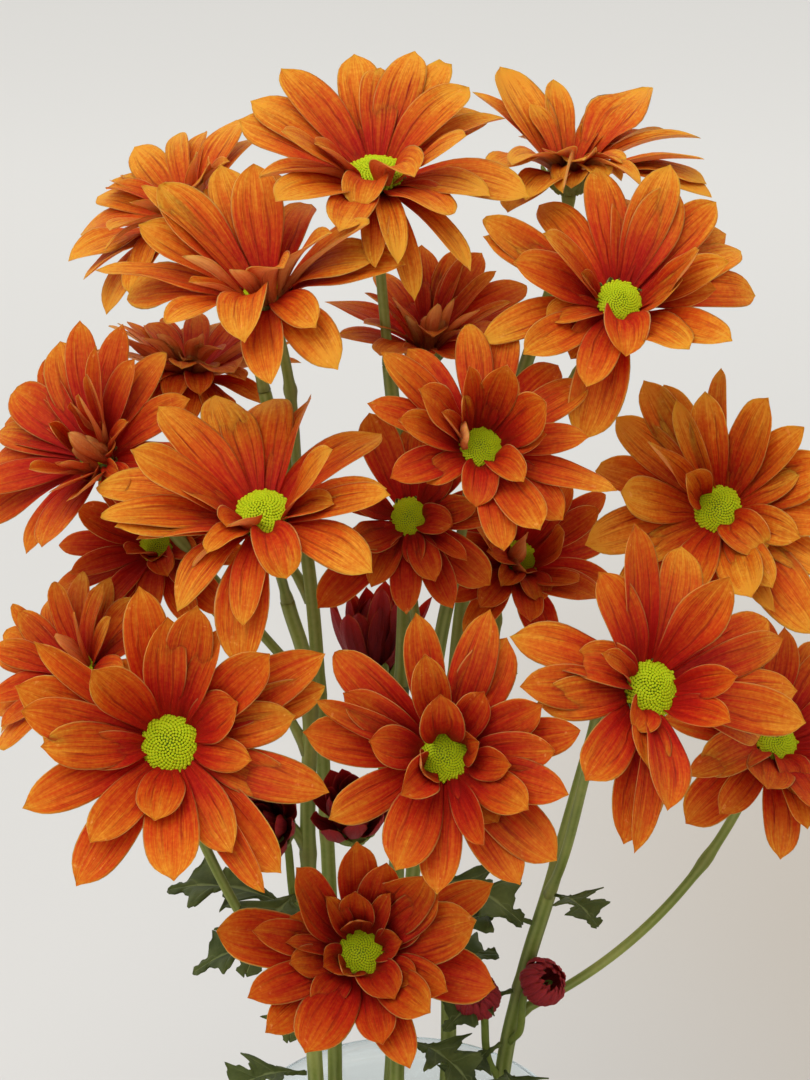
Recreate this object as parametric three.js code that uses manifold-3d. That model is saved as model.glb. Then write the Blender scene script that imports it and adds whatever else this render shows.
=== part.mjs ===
// Orange spray chrysanthemums standing in a glass jar of water. Millimetres, +Z up.
// The origin is the middle of the jar's base.
import * as THREE from 'three';
import { mergeVertices } from 'three/addons/utils/BufferGeometryUtils.js';
import Module from 'manifold-3d';

const wasm = await Module();
wasm.setup();

// ---- Driving dimensions ----
const JAR_HEIGHT = 140;
const LIP_RADIUS = 46.8; // outside of the rolled lip
const LIP_HEIGHT = 7;
const LIP_ROUNDING = 2;
const NECK_RADIUS = 44.5;
const BODY_RADIUS = 54;
const BASE_RADIUS = 42;
const HEEL_HEIGHT = 13; // where the rounded edge at the base ends
const GLASS_WALL = 3;
const GLASS_FLOOR = 6;
const SHOULDER_FOOT = 88; // height where the body starts to narrow
const NECK_FOOT = 120; // height where the neck starts
const WATER_LEVEL = 84;
const JAR_SEGMENTS = 24;

const GAP = 0.3; // clear space between pieces that touch
const STEM_RADIUS = 2.1;
const STEM_SIDES = 8;
const STEM_STEPS = 14;
const STALK_RADIUS = 1.4;
const THIN_STALK_RADIUS = 1.1;
const STALK_SIDES = 6;
const STALK_STEPS = 7;
const STEM_FLOOR = GLASS_FLOOR + 0.8; // the slanted cut end clears the glass
const FORK_ANGLE = THREE.MathUtils.degToRad(35); // how far a stalk leaves its stem
const FORK_PULL = 0.4; // of a stalk's reach, before it bends away from the fork
const HEAD_PULL = 0.35; // of a stalk's reach, where it is in line with its flower

const DISC_RADIUS = 7; // green centre of an open flower
const DISC_RISE = 3.2; // its dome
const DISC_EDGE = 0.4; // height of its rim above the petals' collar
const WAIST_RADIUS = 5; // where the petals sit round the flower head
const WAIST_HEIGHT = 2.2;
const CALYX_RADIUS = 6.5;
const CALYX_DEPTH = 7;
const HEAD_SEGMENTS = 8;

const CUP_DEPTH = 0.9; // of a half-open flower's or bud's radius, below its widest part
const CUP_RISE = 0.8; // of its radius, above its widest part

const PETAL_THICKNESS = 1;
const PETAL_WIDTH = 0.36; // of the flower's radius
const OUTER_PETALS = 11;
const OUTER_TILT = 16; // degrees above the plane of the flower
const INNER_PETALS = 5;
const INNER_TILT = 46;
const INNER_LENGTH = 0.56; // of the flower's radius

// ---- Main stems: points that each one passes through, from its cut end to its top ----
const STEMS = {
  left_back: [[-24, -8, STEM_FLOOR], [-20, 8, 140], [-22, 10, 240], [-26, 8, 310], [-36, 9, 352]],
  left_front: [[-12, -28, STEM_FLOOR], [-24, -6, 140], [-26, -6, 229], [-25, -5, 275], [-30, -13, 303]],
  middle_back: [[-14, 12, STEM_FLOOR], [-4, 16, 140], [-2, 14, 240], [0, 10, 310], [-4, 6, 360]],
  middle_front: [[10, -14, STEM_FLOOR], [-2, -10, 140], [2, -6, 220], [8, -4, 280], [13, -10, 312]],
  right_back: [[4, 26, STEM_FLOOR], [12, 12, 140], [12, 14, 240], [18, 16, 310], [34, 20, 365]],
  right_front: [[18, 10, STEM_FLOOR], [26, 1, 140], [32, -5, 187], [40, -8, 222], [52, -6, 272]],
};

// ---- Open flowers: centre of the green disc, the way it faces, its radius, the stem that
// carries it and the height of its fork there (a flower with no fork ends its stem) ----
const FLOWERS = [
  { name: 'top', at: [-7, 0, 410], faces: [0, -0.45, 0.89], radius: 36, stem: 'middle_back' },
  { name: 'top_right', at: [42, 25, 407], faces: [0, -0.3, 0.95], radius: 34, stem: 'right_back' },
  { name: 'upper_right', at: [52, -15, 382], faces: [0.1, -0.71, 0.68], radius: 34, stem: 'right_back',
    fork: 330 },
  { name: 'upper_left', at: [-34, -20, 386], faces: [-0.25, -0.31, 0.91], radius: 35,
    stem: 'left_back', fork: 325 },
  { name: 'back_left', at: [-56, 25, 395], faces: [-0.4, -0.05, 0.76], radius: 32, stem: 'left_back' },
  { name: 'middle_back', at: [9, 20, 371], faces: [0.05, -0.18, 0.97], radius: 28,
    stem: 'middle_back', fork: 322 },
  { name: 'far_left', at: [-77, -16, 343], faces: [-0.37, -0.66, 0.63], radius: 30,
    stem: 'left_back', fork: 272 },
  { name: 'left_back', at: [-57, 32, 351], faces: [0.05, 0.15, 0.95], radius: 27,
    stem: 'left_back', fork: 300 },
  { name: 'left_centre', at: [-34, -45, 338], faces: [-0.1, -0.5, 0.82], radius: 35,
    stem: 'left_front' },
  { name: 'centre', at: [18, -40, 353], faces: [0.1, -0.79, 0.6], radius: 29, stem: 'middle_front' },
  { name: 'centre_low', at: [1, -8, 324], faces: [-0.1, -0.83, 0.52], radius: 26,
    stem: 'middle_front', fork: 285 },
  { name: 'right', at: [79, -10, 327], faces: [-0.3, -0.76, 0.54], radius: 32, stem: 'right_front' },
  { name: 'middle_right', at: [30, 12, 305], faces: [0.3, -0.7, 0.57], radius: 27,
    stem: 'right_back', fork: 252 },
  { name: 'left_low', at: [-65, 12, 309], faces: [-0.2, -0.74, 0.59], radius: 26,
    stem: 'left_front', fork: 262 },
  { name: 'far_left_low', at: [-84, -14, 284], faces: [-0.4, -0.43, 0.58], radius: 25,
    stem: 'left_front', fork: 235 },
  { name: 'front_left', at: [-56, -62, 286], faces: [0, -0.9, 0.44], radius: 36.5,
    stem: 'left_front', fork: 185, bow: [-7, 2, 0] },
  { name: 'front_centre', at: [9, -78, 290], faces: [0, -0.92, 0.39], radius: 33,
    stem: 'middle_front', fork: 245 },
  { name: 'front_right', at: [58, -62, 300], faces: [0.35, -0.78, 0.5], radius: 36,
    stem: 'right_front', fork: 222 },
  { name: 'far_right', at: [96, -15, 265], faces: [0.3, -0.58, 0.74], radius: 31,
    stem: 'right_front', fork: 180 },
  { name: 'bottom', at: [-11, -60, 228], faces: [0, -0.79, 0.61], radius: 34,
    stem: 'middle_front', fork: 172 },
];

// ---- Half-open flowers and closed buds, with the same entries ----
const HALF_OPEN = [
  { name: 'half_open_back', at: [-9, 30, 272], faces: [0, 0.1, 0.99], radius: 13,
    stem: 'middle_back', fork: 228 },
  { name: 'half_open_left', at: [-36, -26, 246], faces: [-0.3, -0.78, 0.5], radius: 11,
    stem: 'left_front', fork: 208 },
  { name: 'half_open_middle', at: [-14, -20, 246], faces: [0, -0.58, 0.74], radius: 11,
    stem: 'middle_front', fork: 205 },
];
const BUDS = [
  { name: 'bud_right', at: [37, -13, 192], faces: [0.5, -0.5, 0.6], radius: 6.2,
    stem: 'right_front', fork: 172 },
  { name: 'bud_middle', at: [20, -13, 187], faces: [-0.2, -0.5, 0.8], radius: 6,
    stem: 'right_front', fork: 158 },
];

// ---- Leaves: stem, height on it, the way it points and its length ----
const LEAVES = [
  { name: 'leaf_left_upper', stem: 'left_front', height: 208, points: [-1, 0.3, 0.4], length: 34 },
  { name: 'leaf_left_lower', stem: 'left_front', height: 197, points: [-1, -0.1, 0.1], length: 32 },
  { name: 'leaf_middle', stem: 'middle_front', height: 220, points: [1, -0.6, 0.1], length: 30 },
  { name: 'leaf_middle_pale', stem: 'middle_front', height: 190, points: [1, 0.1, 0.5], length: 24 },
  { name: 'leaf_right', stem: 'right_front', height: 210, points: [1, -0.4, 0.1], length: 28 },
  { name: 'leaf_mouth_left', stem: 'left_front', height: 152, points: [-0.8, -0.5, 0.25], length: 26 },
  { name: 'leaf_mouth_right', stem: 'right_front', height: 150, points: [0.4, -1, 0.3], length: 24 },
];
const LEAF_THICKNESS = 0.8;
const LEAF_WIDTH = 0.62; // of its length
const PETIOLE_WIDTH = 1.6;

// ---- Materials ----
const glass = new THREE.MeshStandardMaterial({
  color: '#dfe9ea', roughness: 0.05, metalness: 0, transparent: true, opacity: 0.35 });
const water = new THREE.MeshStandardMaterial({
  color: '#e4eeec', roughness: 0.02, metalness: 0, transparent: true, opacity: 0.3 });
const stemGreen = new THREE.MeshStandardMaterial({ color: '#6f7f45', roughness: 0.6, metalness: 0 });
const leafGreen = new THREE.MeshStandardMaterial({ color: '#3c5530', roughness: 0.55, metalness: 0 });
const petalOrange = new THREE.MeshStandardMaterial({ color: '#cf661f', roughness: 0.6, metalness: 0 });
const petalMaroon = new THREE.MeshStandardMaterial({ color: '#5e1420', roughness: 0.6, metalness: 0 });

// ---- Solids ----
const part = new THREE.Group();
const UP = new THREE.Vector3(0, 0, 1);
const vector = (list) => new THREE.Vector3(...list);

/** The closed solid that a geometry bounds, for booleans and distances. */
function solidOf(geometry) {
  const bare = new THREE.BufferGeometry();
  bare.setAttribute('position', geometry.getAttribute('position'));
  if (geometry.index) bare.setIndex(geometry.index);
  const merged = mergeVertices(bare, 1e-4);
  return new wasm.Manifold(new wasm.Mesh({
    numProp: 3,
    vertProperties: Float32Array.from(merged.getAttribute('position').array),
    triVerts: Uint32Array.from(merged.index.array),
  }));
}

/** A named mesh of a solid, added to the part. */
function addSolid(name, solid, material) {
  const { numProp, vertProperties, triVerts } = solid.getMesh();
  const positions = new Float32Array((vertProperties.length / numProp) * 3);
  for (let i = 0; i < positions.length; i += 1) {
    positions[i] = vertProperties[Math.floor(i / 3) * numProp + (i % 3)];
  }
  const geometry = new THREE.BufferGeometry();
  geometry.setAttribute('position', new THREE.BufferAttribute(positions, 3));
  geometry.setIndex(new THREE.BufferAttribute(Uint32Array.from(triVerts), 1));
  geometry.computeVertexNormals();
  const mesh = new THREE.Mesh(geometry, material);
  mesh.name = name;
  part.add(mesh);
}

/** A solid turned about the Z axis from a closed profile of [radius, height] points. */
function turned(profile, segments) {
  const points = profile.map(([radius, height]) => new THREE.Vector2(radius, height));
  const geometry = new THREE.LatheGeometry(points, segments);
  geometry.rotateX(Math.PI / 2);
  return solidOf(geometry);
}

/** A round tube along a curve. */
function tube(curve, radius, sides, steps) {
  const section = new THREE.Shape();
  section.absarc(0, 0, radius, 0, Math.PI * 2);
  const geometry = new THREE.ExtrudeGeometry(section, {
    extrudePath: curve, steps, curveSegments: sides / 2, bevelEnabled: false });
  return solidOf(geometry);
}

/** The matrix that stands a local +Z along a direction at a place, turned about it by a spin. */
function standing(at, direction, spin = 0) {
  const turn = new THREE.Quaternion().setFromUnitVectors(UP, direction.clone().normalize());
  const spun = new THREE.Quaternion().setFromAxisAngle(UP, spin);
  return new THREE.Matrix4().compose(at, turn.multiply(spun), new THREE.Vector3(1, 1, 1));
}

const placed = (solid, matrix) => solid.transform(matrix.elements);

// ---- Jar and water ----
/** Points of a quarter ellipse from the body's radius up to the neck's, as [radius, height]. */
function shoulder(inset, drop) {
  const count = 4;
  return Array.from({ length: count + 1 }, (_, i) => {
    const angle = (i / count) * (Math.PI / 2);
    return [NECK_RADIUS + (BODY_RADIUS - NECK_RADIUS) * Math.cos(angle) - inset,
      SHOULDER_FOOT + (NECK_FOOT - SHOULDER_FOOT) * Math.sin(angle) - drop];
  });
}
const outside = [
  [0, 0], [BASE_RADIUS, 0], [BODY_RADIUS - GLASS_WALL, HEEL_HEIGHT / 3], [BODY_RADIUS, HEEL_HEIGHT],
  ...shoulder(0, 0), [NECK_RADIUS, JAR_HEIGHT - LIP_HEIGHT],
  [LIP_RADIUS, JAR_HEIGHT - LIP_HEIGHT + LIP_ROUNDING], [LIP_RADIUS, JAR_HEIGHT - LIP_ROUNDING],
  [LIP_RADIUS - LIP_ROUNDING, JAR_HEIGHT],
];
const innerWall = [
  [BODY_RADIUS - GLASS_WALL, HEEL_HEIGHT + GLASS_WALL], ...shoulder(GLASS_WALL, LIP_ROUNDING),
];
const inside = [
  [NECK_RADIUS - GLASS_WALL, JAR_HEIGHT - LIP_ROUNDING], ...innerWall.toReversed(),
  [BASE_RADIUS, GLASS_FLOOR], [0, GLASS_FLOOR],
];
addSolid('jar', turned([...outside, ...inside], JAR_SEGMENTS), glass);

// ---- Stems ----
const stemCurves = {};
const stemSolids = {};
for (const [name, points] of Object.entries(STEMS)) {
  const curve = new THREE.CatmullRomCurve3(points.map(vector), false, 'catmullrom', 0.5);
  stemCurves[name] = curve;
  stemSolids[name] = tube(curve, STEM_RADIUS, STEM_SIDES, STEM_STEPS);
  addSolid(`stem_${name}`, stemSolids[name], stemGreen);
}

// The water fills the jar up to its level, round the stems.
const waterRadius = BODY_RADIUS - GLASS_WALL - GAP;
let waterSolid = turned([
  [0, GLASS_FLOOR + GAP], [BASE_RADIUS - GAP, GLASS_FLOOR + GAP],
  [waterRadius, HEEL_HEIGHT + GLASS_WALL], [waterRadius, WATER_LEVEL], [0, WATER_LEVEL],
], JAR_SEGMENTS);
for (const curve of Object.values(stemCurves)) {
  const below = curve.getPoint(0).addScaledVector(curve.getTangent(0), -STEM_RADIUS);
  const bore = new THREE.CatmullRomCurve3([below, ...curve.points.slice(1)], false, 'catmullrom', 0.5);
  waterSolid = waterSolid.subtract(tube(bore, STEM_RADIUS + GAP, STEM_SIDES, STEM_STEPS));
}
addSolid('water', waterSolid, water);

/** The place on a stem at a height, and the stem's direction there. */
function onStem(name, height) {
  const curve = stemCurves[name];
  let [low, high] = [0, 1];
  for (let i = 0; i < 24; i += 1) {
    const middle = (low + high) / 2;
    if (curve.getPoint(middle).z < height) low = middle;
    else high = middle;
  }
  return { at: curve.getPoint(low), along: curve.getTangent(low) };
}

/** A stalk's curve from its fork, or its stem's top, to the back of what it carries, where a
 * bow pushes its middle aside. */
function stalkCurve(item, depth, radius) {
  const faces = vector(item.faces).normalize();
  const end = vector(item.at).addScaledVector(faces, -depth);
  const fork = onStem(item.stem, item.fork ?? Infinity);
  const start = fork.at.clone();
  const leaves = fork.along.clone();
  if (item.fork) {
    const outward = end.clone().sub(fork.at).projectOnPlane(fork.along).normalize();
    leaves.multiplyScalar(Math.cos(FORK_ANGLE)).addScaledVector(outward, Math.sin(FORK_ANGLE));
    start.addScaledVector(outward, STEM_RADIUS + GAP + radius);
  } else {
    start.addScaledVector(fork.along, GAP);
  }
  const reach = start.distanceTo(end);
  const bow = vector(item.bow ?? [0, 0, 0]);
  return new THREE.CubicBezierCurve3(
    start,
    start.clone().addScaledVector(leaves, reach * FORK_PULL).add(bow),
    end.clone().addScaledVector(faces, -reach * HEAD_PULL).add(bow),
    end,
  );
}

// ---- Flower heads with their stalks ----
const headProfile = [
  [0, -CALYX_DEPTH - DISC_EDGE], [STALK_RADIUS * 1.6, -CALYX_DEPTH],
  [CALYX_RADIUS, -WAIST_HEIGHT * 1.7], [CALYX_RADIUS, -WAIST_HEIGHT], [WAIST_RADIUS, -WAIST_HEIGHT],
  [WAIST_RADIUS, 0], [DISC_RADIUS, DISC_EDGE], [DISC_RADIUS * 0.85, DISC_RISE * 0.7], [0, DISC_RISE],
];
const obstacles = [...Object.values(stemSolids)]; // what the petals have to clear
for (const flower of FLOWERS) {
  const curve = stalkCurve(flower, CALYX_DEPTH, STALK_RADIUS);
  const head = placed(turned(headProfile, HEAD_SEGMENTS),
    standing(vector(flower.at), vector(flower.faces)));
  const solid = head.add(tube(curve, STALK_RADIUS, STALK_SIDES, STALK_STEPS));
  obstacles.push(solid);
  addSolid(`${flower.name}_stalk`, solid, stemGreen);
}

// ---- Half-open flowers and buds ----
/** A closed cup with a domed top, for petals that still stand together. */
function cup(radius) {
  const depth = radius * CUP_DEPTH;
  const rise = radius * CUP_RISE;
  return turned([
    [0, -depth - DISC_EDGE], [radius * 0.4, -depth], [radius * 0.9, -depth * 0.5], [radius, 0],
    [radius * 0.8, rise * 0.7], [0, rise],
  ], HEAD_SEGMENTS);
}
for (const item of [...HALF_OPEN, ...BUDS]) {
  const head = placed(cup(item.radius), standing(vector(item.at), vector(item.faces)));
  const curve = stalkCurve(item, item.radius * CUP_DEPTH, THIN_STALK_RADIUS);
  const solid = head.add(tube(curve, THIN_STALK_RADIUS, STALK_SIDES, STALK_STEPS));
  obstacles.push(solid);
  addSolid(item.name, solid, petalMaroon);
}

// ---- Leaves ----
/** A flat plate along +X whose outline is the points of one side, a tip and their mirror. */
function plate(side, tip, thickness) {
  const mirrored = side.map(([x, y]) => [x, -y]);
  const outline = [...mirrored, ...tip, ...side.toReversed()];
  const shape = new THREE.Shape(outline.map(([x, y]) => new THREE.Vector2(x, y)));
  const geometry = new THREE.ExtrudeGeometry(shape, { depth: thickness, bevelEnabled: false });
  return geometry.translate(0, 0, -thickness / 2);
}

/** A lobed leaf along +X with its own short stalk, its side in shares of length and width. */
function leafSolid(length) {
  const lobes = [[0.24, 0.03], [0.3, 0.34], [0.45, 0.22], [0.55, 0.5], [0.68, 0.26], [0.82, 0.36]];
  const side = lobes.map(([along, across]) => [along * length, across * length * LEAF_WIDTH]);
  return solidOf(plate([[0, PETIOLE_WIDTH / 2], ...side], [[length, 0]], LEAF_THICKNESS));
}
for (const leaf of LEAVES) {
  const { at, along } = onStem(leaf.stem, leaf.height);
  const points = vector(leaf.points).normalize();
  const outward = points.clone().projectOnPlane(along).normalize();
  const across = UP.clone().cross(points).normalize();
  const face = points.clone().cross(across);
  const base = at.clone().addScaledVector(outward, STEM_RADIUS + GAP * 2);
  const frame = new THREE.Matrix4().makeBasis(points, across, face).setPosition(base);
  const solid = placed(leafSolid(leaf.length), frame);
  obstacles.push(solid);
  addSolid(leaf.name, solid, leafGreen);
}

// ---- Ray petals ----
/** One petal along +X from the flower's middle, raised by a tilt in degrees. */
function petalSolid(length, width, tilt) {
  const inner = WAIST_RADIUS + GAP;
  const reach = length - inner;
  const shares = [[0, 0.2], [0.62, 0.5], [1, 0.08]];
  const side = shares.map(([along, across]) => [along * reach, across * width]);
  const geometry = plate(side, [], PETAL_THICKNESS);
  geometry.rotateY(-THREE.MathUtils.degToRad(tilt));
  geometry.translate(inner, 0, -WAIST_HEIGHT / 2);
  return solidOf(geometry);
}

/** True where a solid keeps the gap to each of the others. */
const clears = (solid, others) => others.every((other) => solid.minGap(other, GAP * 2) > GAP);

const collar = turned([
  [WAIST_RADIUS + GAP, -WAIST_HEIGHT + GAP], [DISC_RADIUS, -WAIST_HEIGHT + GAP],
  [DISC_RADIUS, -GAP], [WAIST_RADIUS + GAP, -GAP], [WAIST_RADIUS + GAP, -WAIST_HEIGHT + GAP],
], HEAD_SEGMENTS);
const WAYS_ASIDE = [0, 8, -8, 16, -16, 26, -26]; // degrees that a petal may lean to let another by
const SHORTER = [1, 0.8, 0.6]; // parts of its length that it may keep there
for (const flower of FLOWERS) {
  const frame = standing(vector(flower.at), vector(flower.faces));
  let ring = placed(collar, frame);
  const whorls = [
    { count: OUTER_PETALS, tilt: OUTER_TILT, length: flower.radius, turn: 0 },
    { count: INNER_PETALS, tilt: INNER_TILT, length: flower.radius * INNER_LENGTH, turn: 0.5 },
  ];
  for (const whorl of whorls) {
    for (let i = 0; i < whorl.count; i += 1) {
      const spin = new THREE.Matrix4().makeRotationZ(((i + whorl.turn) / whorl.count) * Math.PI * 2);
      const place = frame.clone().multiply(spin);
      const options = SHORTER.flatMap((share) => WAYS_ASIDE.map((aside) => ({ share, aside })));
      for (const { share, aside } of options) {
        const petal = placed(petalSolid(whorl.length * share, flower.radius * PETAL_WIDTH,
          whorl.tilt + aside), place);
        if (clears(petal, obstacles)) {
          ring = ring.add(petal);
          break;
        }
      }
    }
  }
  obstacles.push(ring);
  addSolid(`${flower.name}_petals`, ring, petalOrange);
}

export default part;
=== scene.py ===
# %% [markdown]
# # Orange chrysanthemums in a glass jar
# This lesson dresses a plain construction model of a jar of cut chrysanthemums. The
# construction model, the frame, says where each jar, stem, flower and leaf is and how
# big it may be. The lesson grows real petals, florets, leaves and glass in those places.
# Lengths of the plants and the jar are in millimetres, as a florist would measure them,
# and one helper turns them into Blender's metres when a mesh is made.

# %% Load the frame
import math

import bpy
import numpy as np
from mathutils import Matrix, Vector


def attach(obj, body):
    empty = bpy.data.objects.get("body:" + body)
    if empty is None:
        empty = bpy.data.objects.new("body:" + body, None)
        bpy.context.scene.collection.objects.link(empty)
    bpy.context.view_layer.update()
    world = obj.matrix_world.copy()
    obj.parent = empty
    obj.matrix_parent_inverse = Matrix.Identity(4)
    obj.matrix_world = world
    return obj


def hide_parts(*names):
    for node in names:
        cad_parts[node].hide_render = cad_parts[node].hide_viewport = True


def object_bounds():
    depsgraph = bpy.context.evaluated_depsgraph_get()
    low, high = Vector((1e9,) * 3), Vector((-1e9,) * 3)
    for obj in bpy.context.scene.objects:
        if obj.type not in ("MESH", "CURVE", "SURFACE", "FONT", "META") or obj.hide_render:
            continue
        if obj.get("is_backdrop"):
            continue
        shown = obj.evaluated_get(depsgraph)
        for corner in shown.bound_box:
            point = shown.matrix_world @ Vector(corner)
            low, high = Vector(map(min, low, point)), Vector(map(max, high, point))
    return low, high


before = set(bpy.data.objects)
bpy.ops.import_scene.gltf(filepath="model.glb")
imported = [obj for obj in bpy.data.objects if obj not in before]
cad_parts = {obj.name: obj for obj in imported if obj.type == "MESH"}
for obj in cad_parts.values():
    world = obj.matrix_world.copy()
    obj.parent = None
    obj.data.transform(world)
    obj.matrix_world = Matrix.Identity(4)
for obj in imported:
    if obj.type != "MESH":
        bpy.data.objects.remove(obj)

CAD_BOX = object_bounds()
MM = 0.001
BODY = "root"
print("frame:", len(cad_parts), "nodes, box", [tuple(round(v / MM) for v in c) for c in CAD_BOX])

# %% [markdown]
# ## Camera
# The photograph looks down on the bouquet from a little above, close enough for the
# front flowers to look larger. A camera needs a place, a tilt and a lens: the tilt comes
# from how much of each flower's face shows, and the lens from the distance.

# %% Camera
EYE = (0.0, -0.5826, 0.527)
LOOKS_DOWN = 20
LENS = 80

camera_data = bpy.data.cameras.new("camera")
camera_data.lens = LENS
camera = bpy.data.objects.new("camera", camera_data)
camera.location = EYE
camera.rotation_euler = (math.radians(90 - LOOKS_DOWN), 0, 0)
bpy.context.collection.objects.link(camera)
bpy.context.scene.camera = camera
print("camera at", EYE, "looking", LOOKS_DOWN, "degrees down")

# %% [markdown]
# ## Small tools for shapes
# Every piece in this lesson is a surface worked out by a formula: a grid of points, as
# one numpy array, and the four-cornered faces that join neighbours on the grid. These
# helpers make unit directions, smooth curves and the faces of a grid.

# %% Directions and curves
def unit(vectors):
    """Each vector divided by its length."""
    vectors = np.asarray(vectors, float)
    return vectors / np.linalg.norm(vectors, axis=-1, keepdims=True)


def blend(low, high, amount):
    """low where amount is 0, high where it is 1, in a straight line between."""
    return low + (high - low) * amount


def smooth(low, high, value):
    """0 below low, 1 above high, and an S-curve, 3t^2 - 2t^3, between."""
    t = np.clip((np.asarray(value, float) - low) / (high - low), 0, 1)
    return t * t * (3 - 2 * t)


def curve_through(points, count):
    """Catmull-Rom curve through points: between two of them, the cubic whose slope at
    each is half the way between its neighbours. The ends carry on in a straight line."""
    p = np.asarray(points, float)
    p = np.vstack([2 * p[0] - p[1], p, 2 * p[-1] - p[-2]])
    place = np.linspace(0, len(p) - 3, count)
    k = np.minimum(place.astype(int), len(p) - 4)
    t = (place - k)[:, None]
    a, b, c, d = p[k], p[k + 1], p[k + 2], p[k + 3]
    return b + t / 2 * (c - a + t * (2 * a - 5 * b + 4 * c - d + t * (3 * b - a - 3 * c + d)))


def bezier(corners, count):
    """Cubic Bezier curve: the four corners weighted by (1-t)^3, 3t(1-t)^2, 3t^2(1-t), t^3."""
    t = np.linspace(0, 1, count)[:, None]
    a, b, c, d = (np.asarray(corner, float) for corner in corners)
    return a * (1 - t) ** 3 + 3 * b * t * (1 - t) ** 2 + 3 * c * t ** 2 * (1 - t) + d * t ** 3


def tangents(path):
    """Unit direction of a path at each of its points, from the points beside it."""
    return unit(np.gradient(path, axis=0))


def circle(count):
    """Angles, in radians, of count points spread evenly round a circle."""
    return np.linspace(0, 2 * np.pi, count, endpoint=False)


# %% Faces of a grid
def grid_faces(rows, columns, closed=False):
    """Faces of a grid of points stored row by row. closed joins the last column to the first."""
    row, column = np.mgrid[0:rows - 1, 0:columns if closed else columns - 1]
    beside = (column + 1) % columns
    corners = [row * columns + column, row * columns + beside,
               (row + 1) * columns + beside, (row + 1) * columns + column]
    return np.stack(corners, -1).reshape(-1, 4)


def closed_faces(rings, sides):
    """Faces of a row of rings, and the fans that close its ends on the two points after them."""
    ring = np.arange(sides)
    beside = np.roll(ring, -1)
    start = np.stack([beside, ring, np.full(sides, rings * sides)], -1)
    end = np.stack([ring, beside, np.full(sides, sides + 1)], -1) + (rings - 1) * sides
    return [*grid_faces(rings, sides, closed=True).tolist(), *start.tolist(), *end.tolist()]


def sweep(path, radii, sides, ridges, ridge_height, slant=0.0):
    """A closed rod along a path. A point of its skin is path + r(cos a, sin a), across the
    path, where r = radius (1 + ridge_height cos(ridges a)). slant tilts the cut first end."""
    along = tangents(path)
    chord = np.abs(path[-1] - path[0])
    aside = np.eye(3)[np.argmin(chord)]
    across = unit(np.cross(along, aside))
    over = np.cross(along, across)
    angle = circle(sides)
    radius = np.asarray(radii, float)[:, None] * (1 + ridge_height * np.cos(ridges * angle))
    rings = (path[:, None] + radius[..., None] * (
        np.cos(angle)[None, :, None] * across[:, None] + np.sin(angle)[None, :, None] * over[:, None]))
    rings[0] += slant * np.cos(angle)[:, None] * along[0] * radii[0]
    points = np.vstack([rings.reshape(-1, 3), rings[0].mean(0), rings[-1].mean(0)])
    return points, closed_faces(len(path), sides)


def lathe(profile, turns):
    """A profile of (radius, height) that starts and ends on the axis, turned about the
    vertical: (r cos a, r sin a, h). Its first and last point are poles."""
    profile = np.asarray(profile, float)
    angle = circle(turns)
    rings = profile[1:-1]
    points = np.stack([rings[:, :1] * np.cos(angle), rings[:, :1] * np.sin(angle),
                       np.repeat(rings[:, 1:], turns, 1)], -1).reshape(-1, 3)
    points = np.vstack([points, [0, 0, profile[0, 1]], [0, 0, profile[-1, 1]]])
    return points, closed_faces(len(rings), turns)


def join(parts):
    """Several (points, faces) as one: each one's face numbers move up past the points before."""
    points, faces, start = [], [], 0
    for some_points, some_faces in parts:
        points.append(some_points)
        faces += [[corner + start for corner in face] for face in some_faces]
        start += len(some_points)
    return np.vstack(points), faces


# %% [markdown]
# ## From arrays to a finished piece
# A piece needs a mesh, a material, a place on the frame and the name of the frame part
# it stands for. Numbers that a material reads, such as where a point lies on its petal,
# are stored on the mesh as named attributes.

# %% Make a piece
def make_piece(name, points, faces, material, slot, nodes, values=None, levels=0):
    """Puts points, in millimetres, and faces into a mesh with smooth shading, stores each
    array of values, one number for each point, and finishes it with a subdivision surface."""
    mesh = bpy.data.meshes.new(name)
    mesh.from_pydata((np.asarray(points) * MM).tolist(), [], faces)
    for key, numbers in (values or {}).items():
        stored = mesh.attributes.new(key, "FLOAT", "POINT").data
        stored.foreach_set("value", np.asarray(numbers, float).ravel())
    mesh.polygons.foreach_set("use_smooth", np.ones(len(mesh.polygons), bool))
    mesh.materials.append(material)
    piece = bpy.data.objects.new(name, mesh)
    bpy.context.collection.objects.link(piece)
    if levels:
        rounding = piece.modifiers.new("rounding", "SUBSURF")
        rounding.levels = rounding.render_levels = levels
    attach(piece, BODY)
    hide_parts(*nodes)
    return piece


# %% [markdown]
# ## Small tools for materials
# A material is a chain of shader nodes. Written as Python, a chain of Math nodes is hard
# to read, so one small class lets a node's output be added and multiplied like a number.

# %% A number that varies over a surface
class Shade:
    """The output of a shader node. Arithmetic on it adds the Math nodes that work it out."""

    def __init__(self, paint, socket):
        self.paint, self.socket = paint, socket

    def maths(self, operation, first, second=None):
        inputs = {0: first} if second is None else {0: first, 1: second}
        return self.paint.node("ShaderNodeMath", {"operation": operation}, inputs)

    def __add__(self, other):
        return self.maths("ADD", self, other)

    def __radd__(self, other):
        return self.maths("ADD", other, self)

    def __sub__(self, other):
        return self.maths("SUBTRACT", self, other)

    def __rsub__(self, other):
        return self.maths("SUBTRACT", other, self)

    def __mul__(self, other):
        return self.maths("MULTIPLY", self, other)

    def __rmul__(self, other):
        return self.maths("MULTIPLY", other, self)

    def __pow__(self, other):
        return self.maths("POWER", self, other)

    def absolute(self):
        return self.maths("ABSOLUTE", self)

    def sine(self):
        return self.maths("SINE", self)

    def between(self, low, high):
        """0 below low, 1 above high, with a smooth step between."""
        return self.paint.node("ShaderNodeMapRange", {"interpolation_type": "SMOOTHSTEP"},
                               {"Value": self, "From Min": low, "From Max": high})


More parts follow.
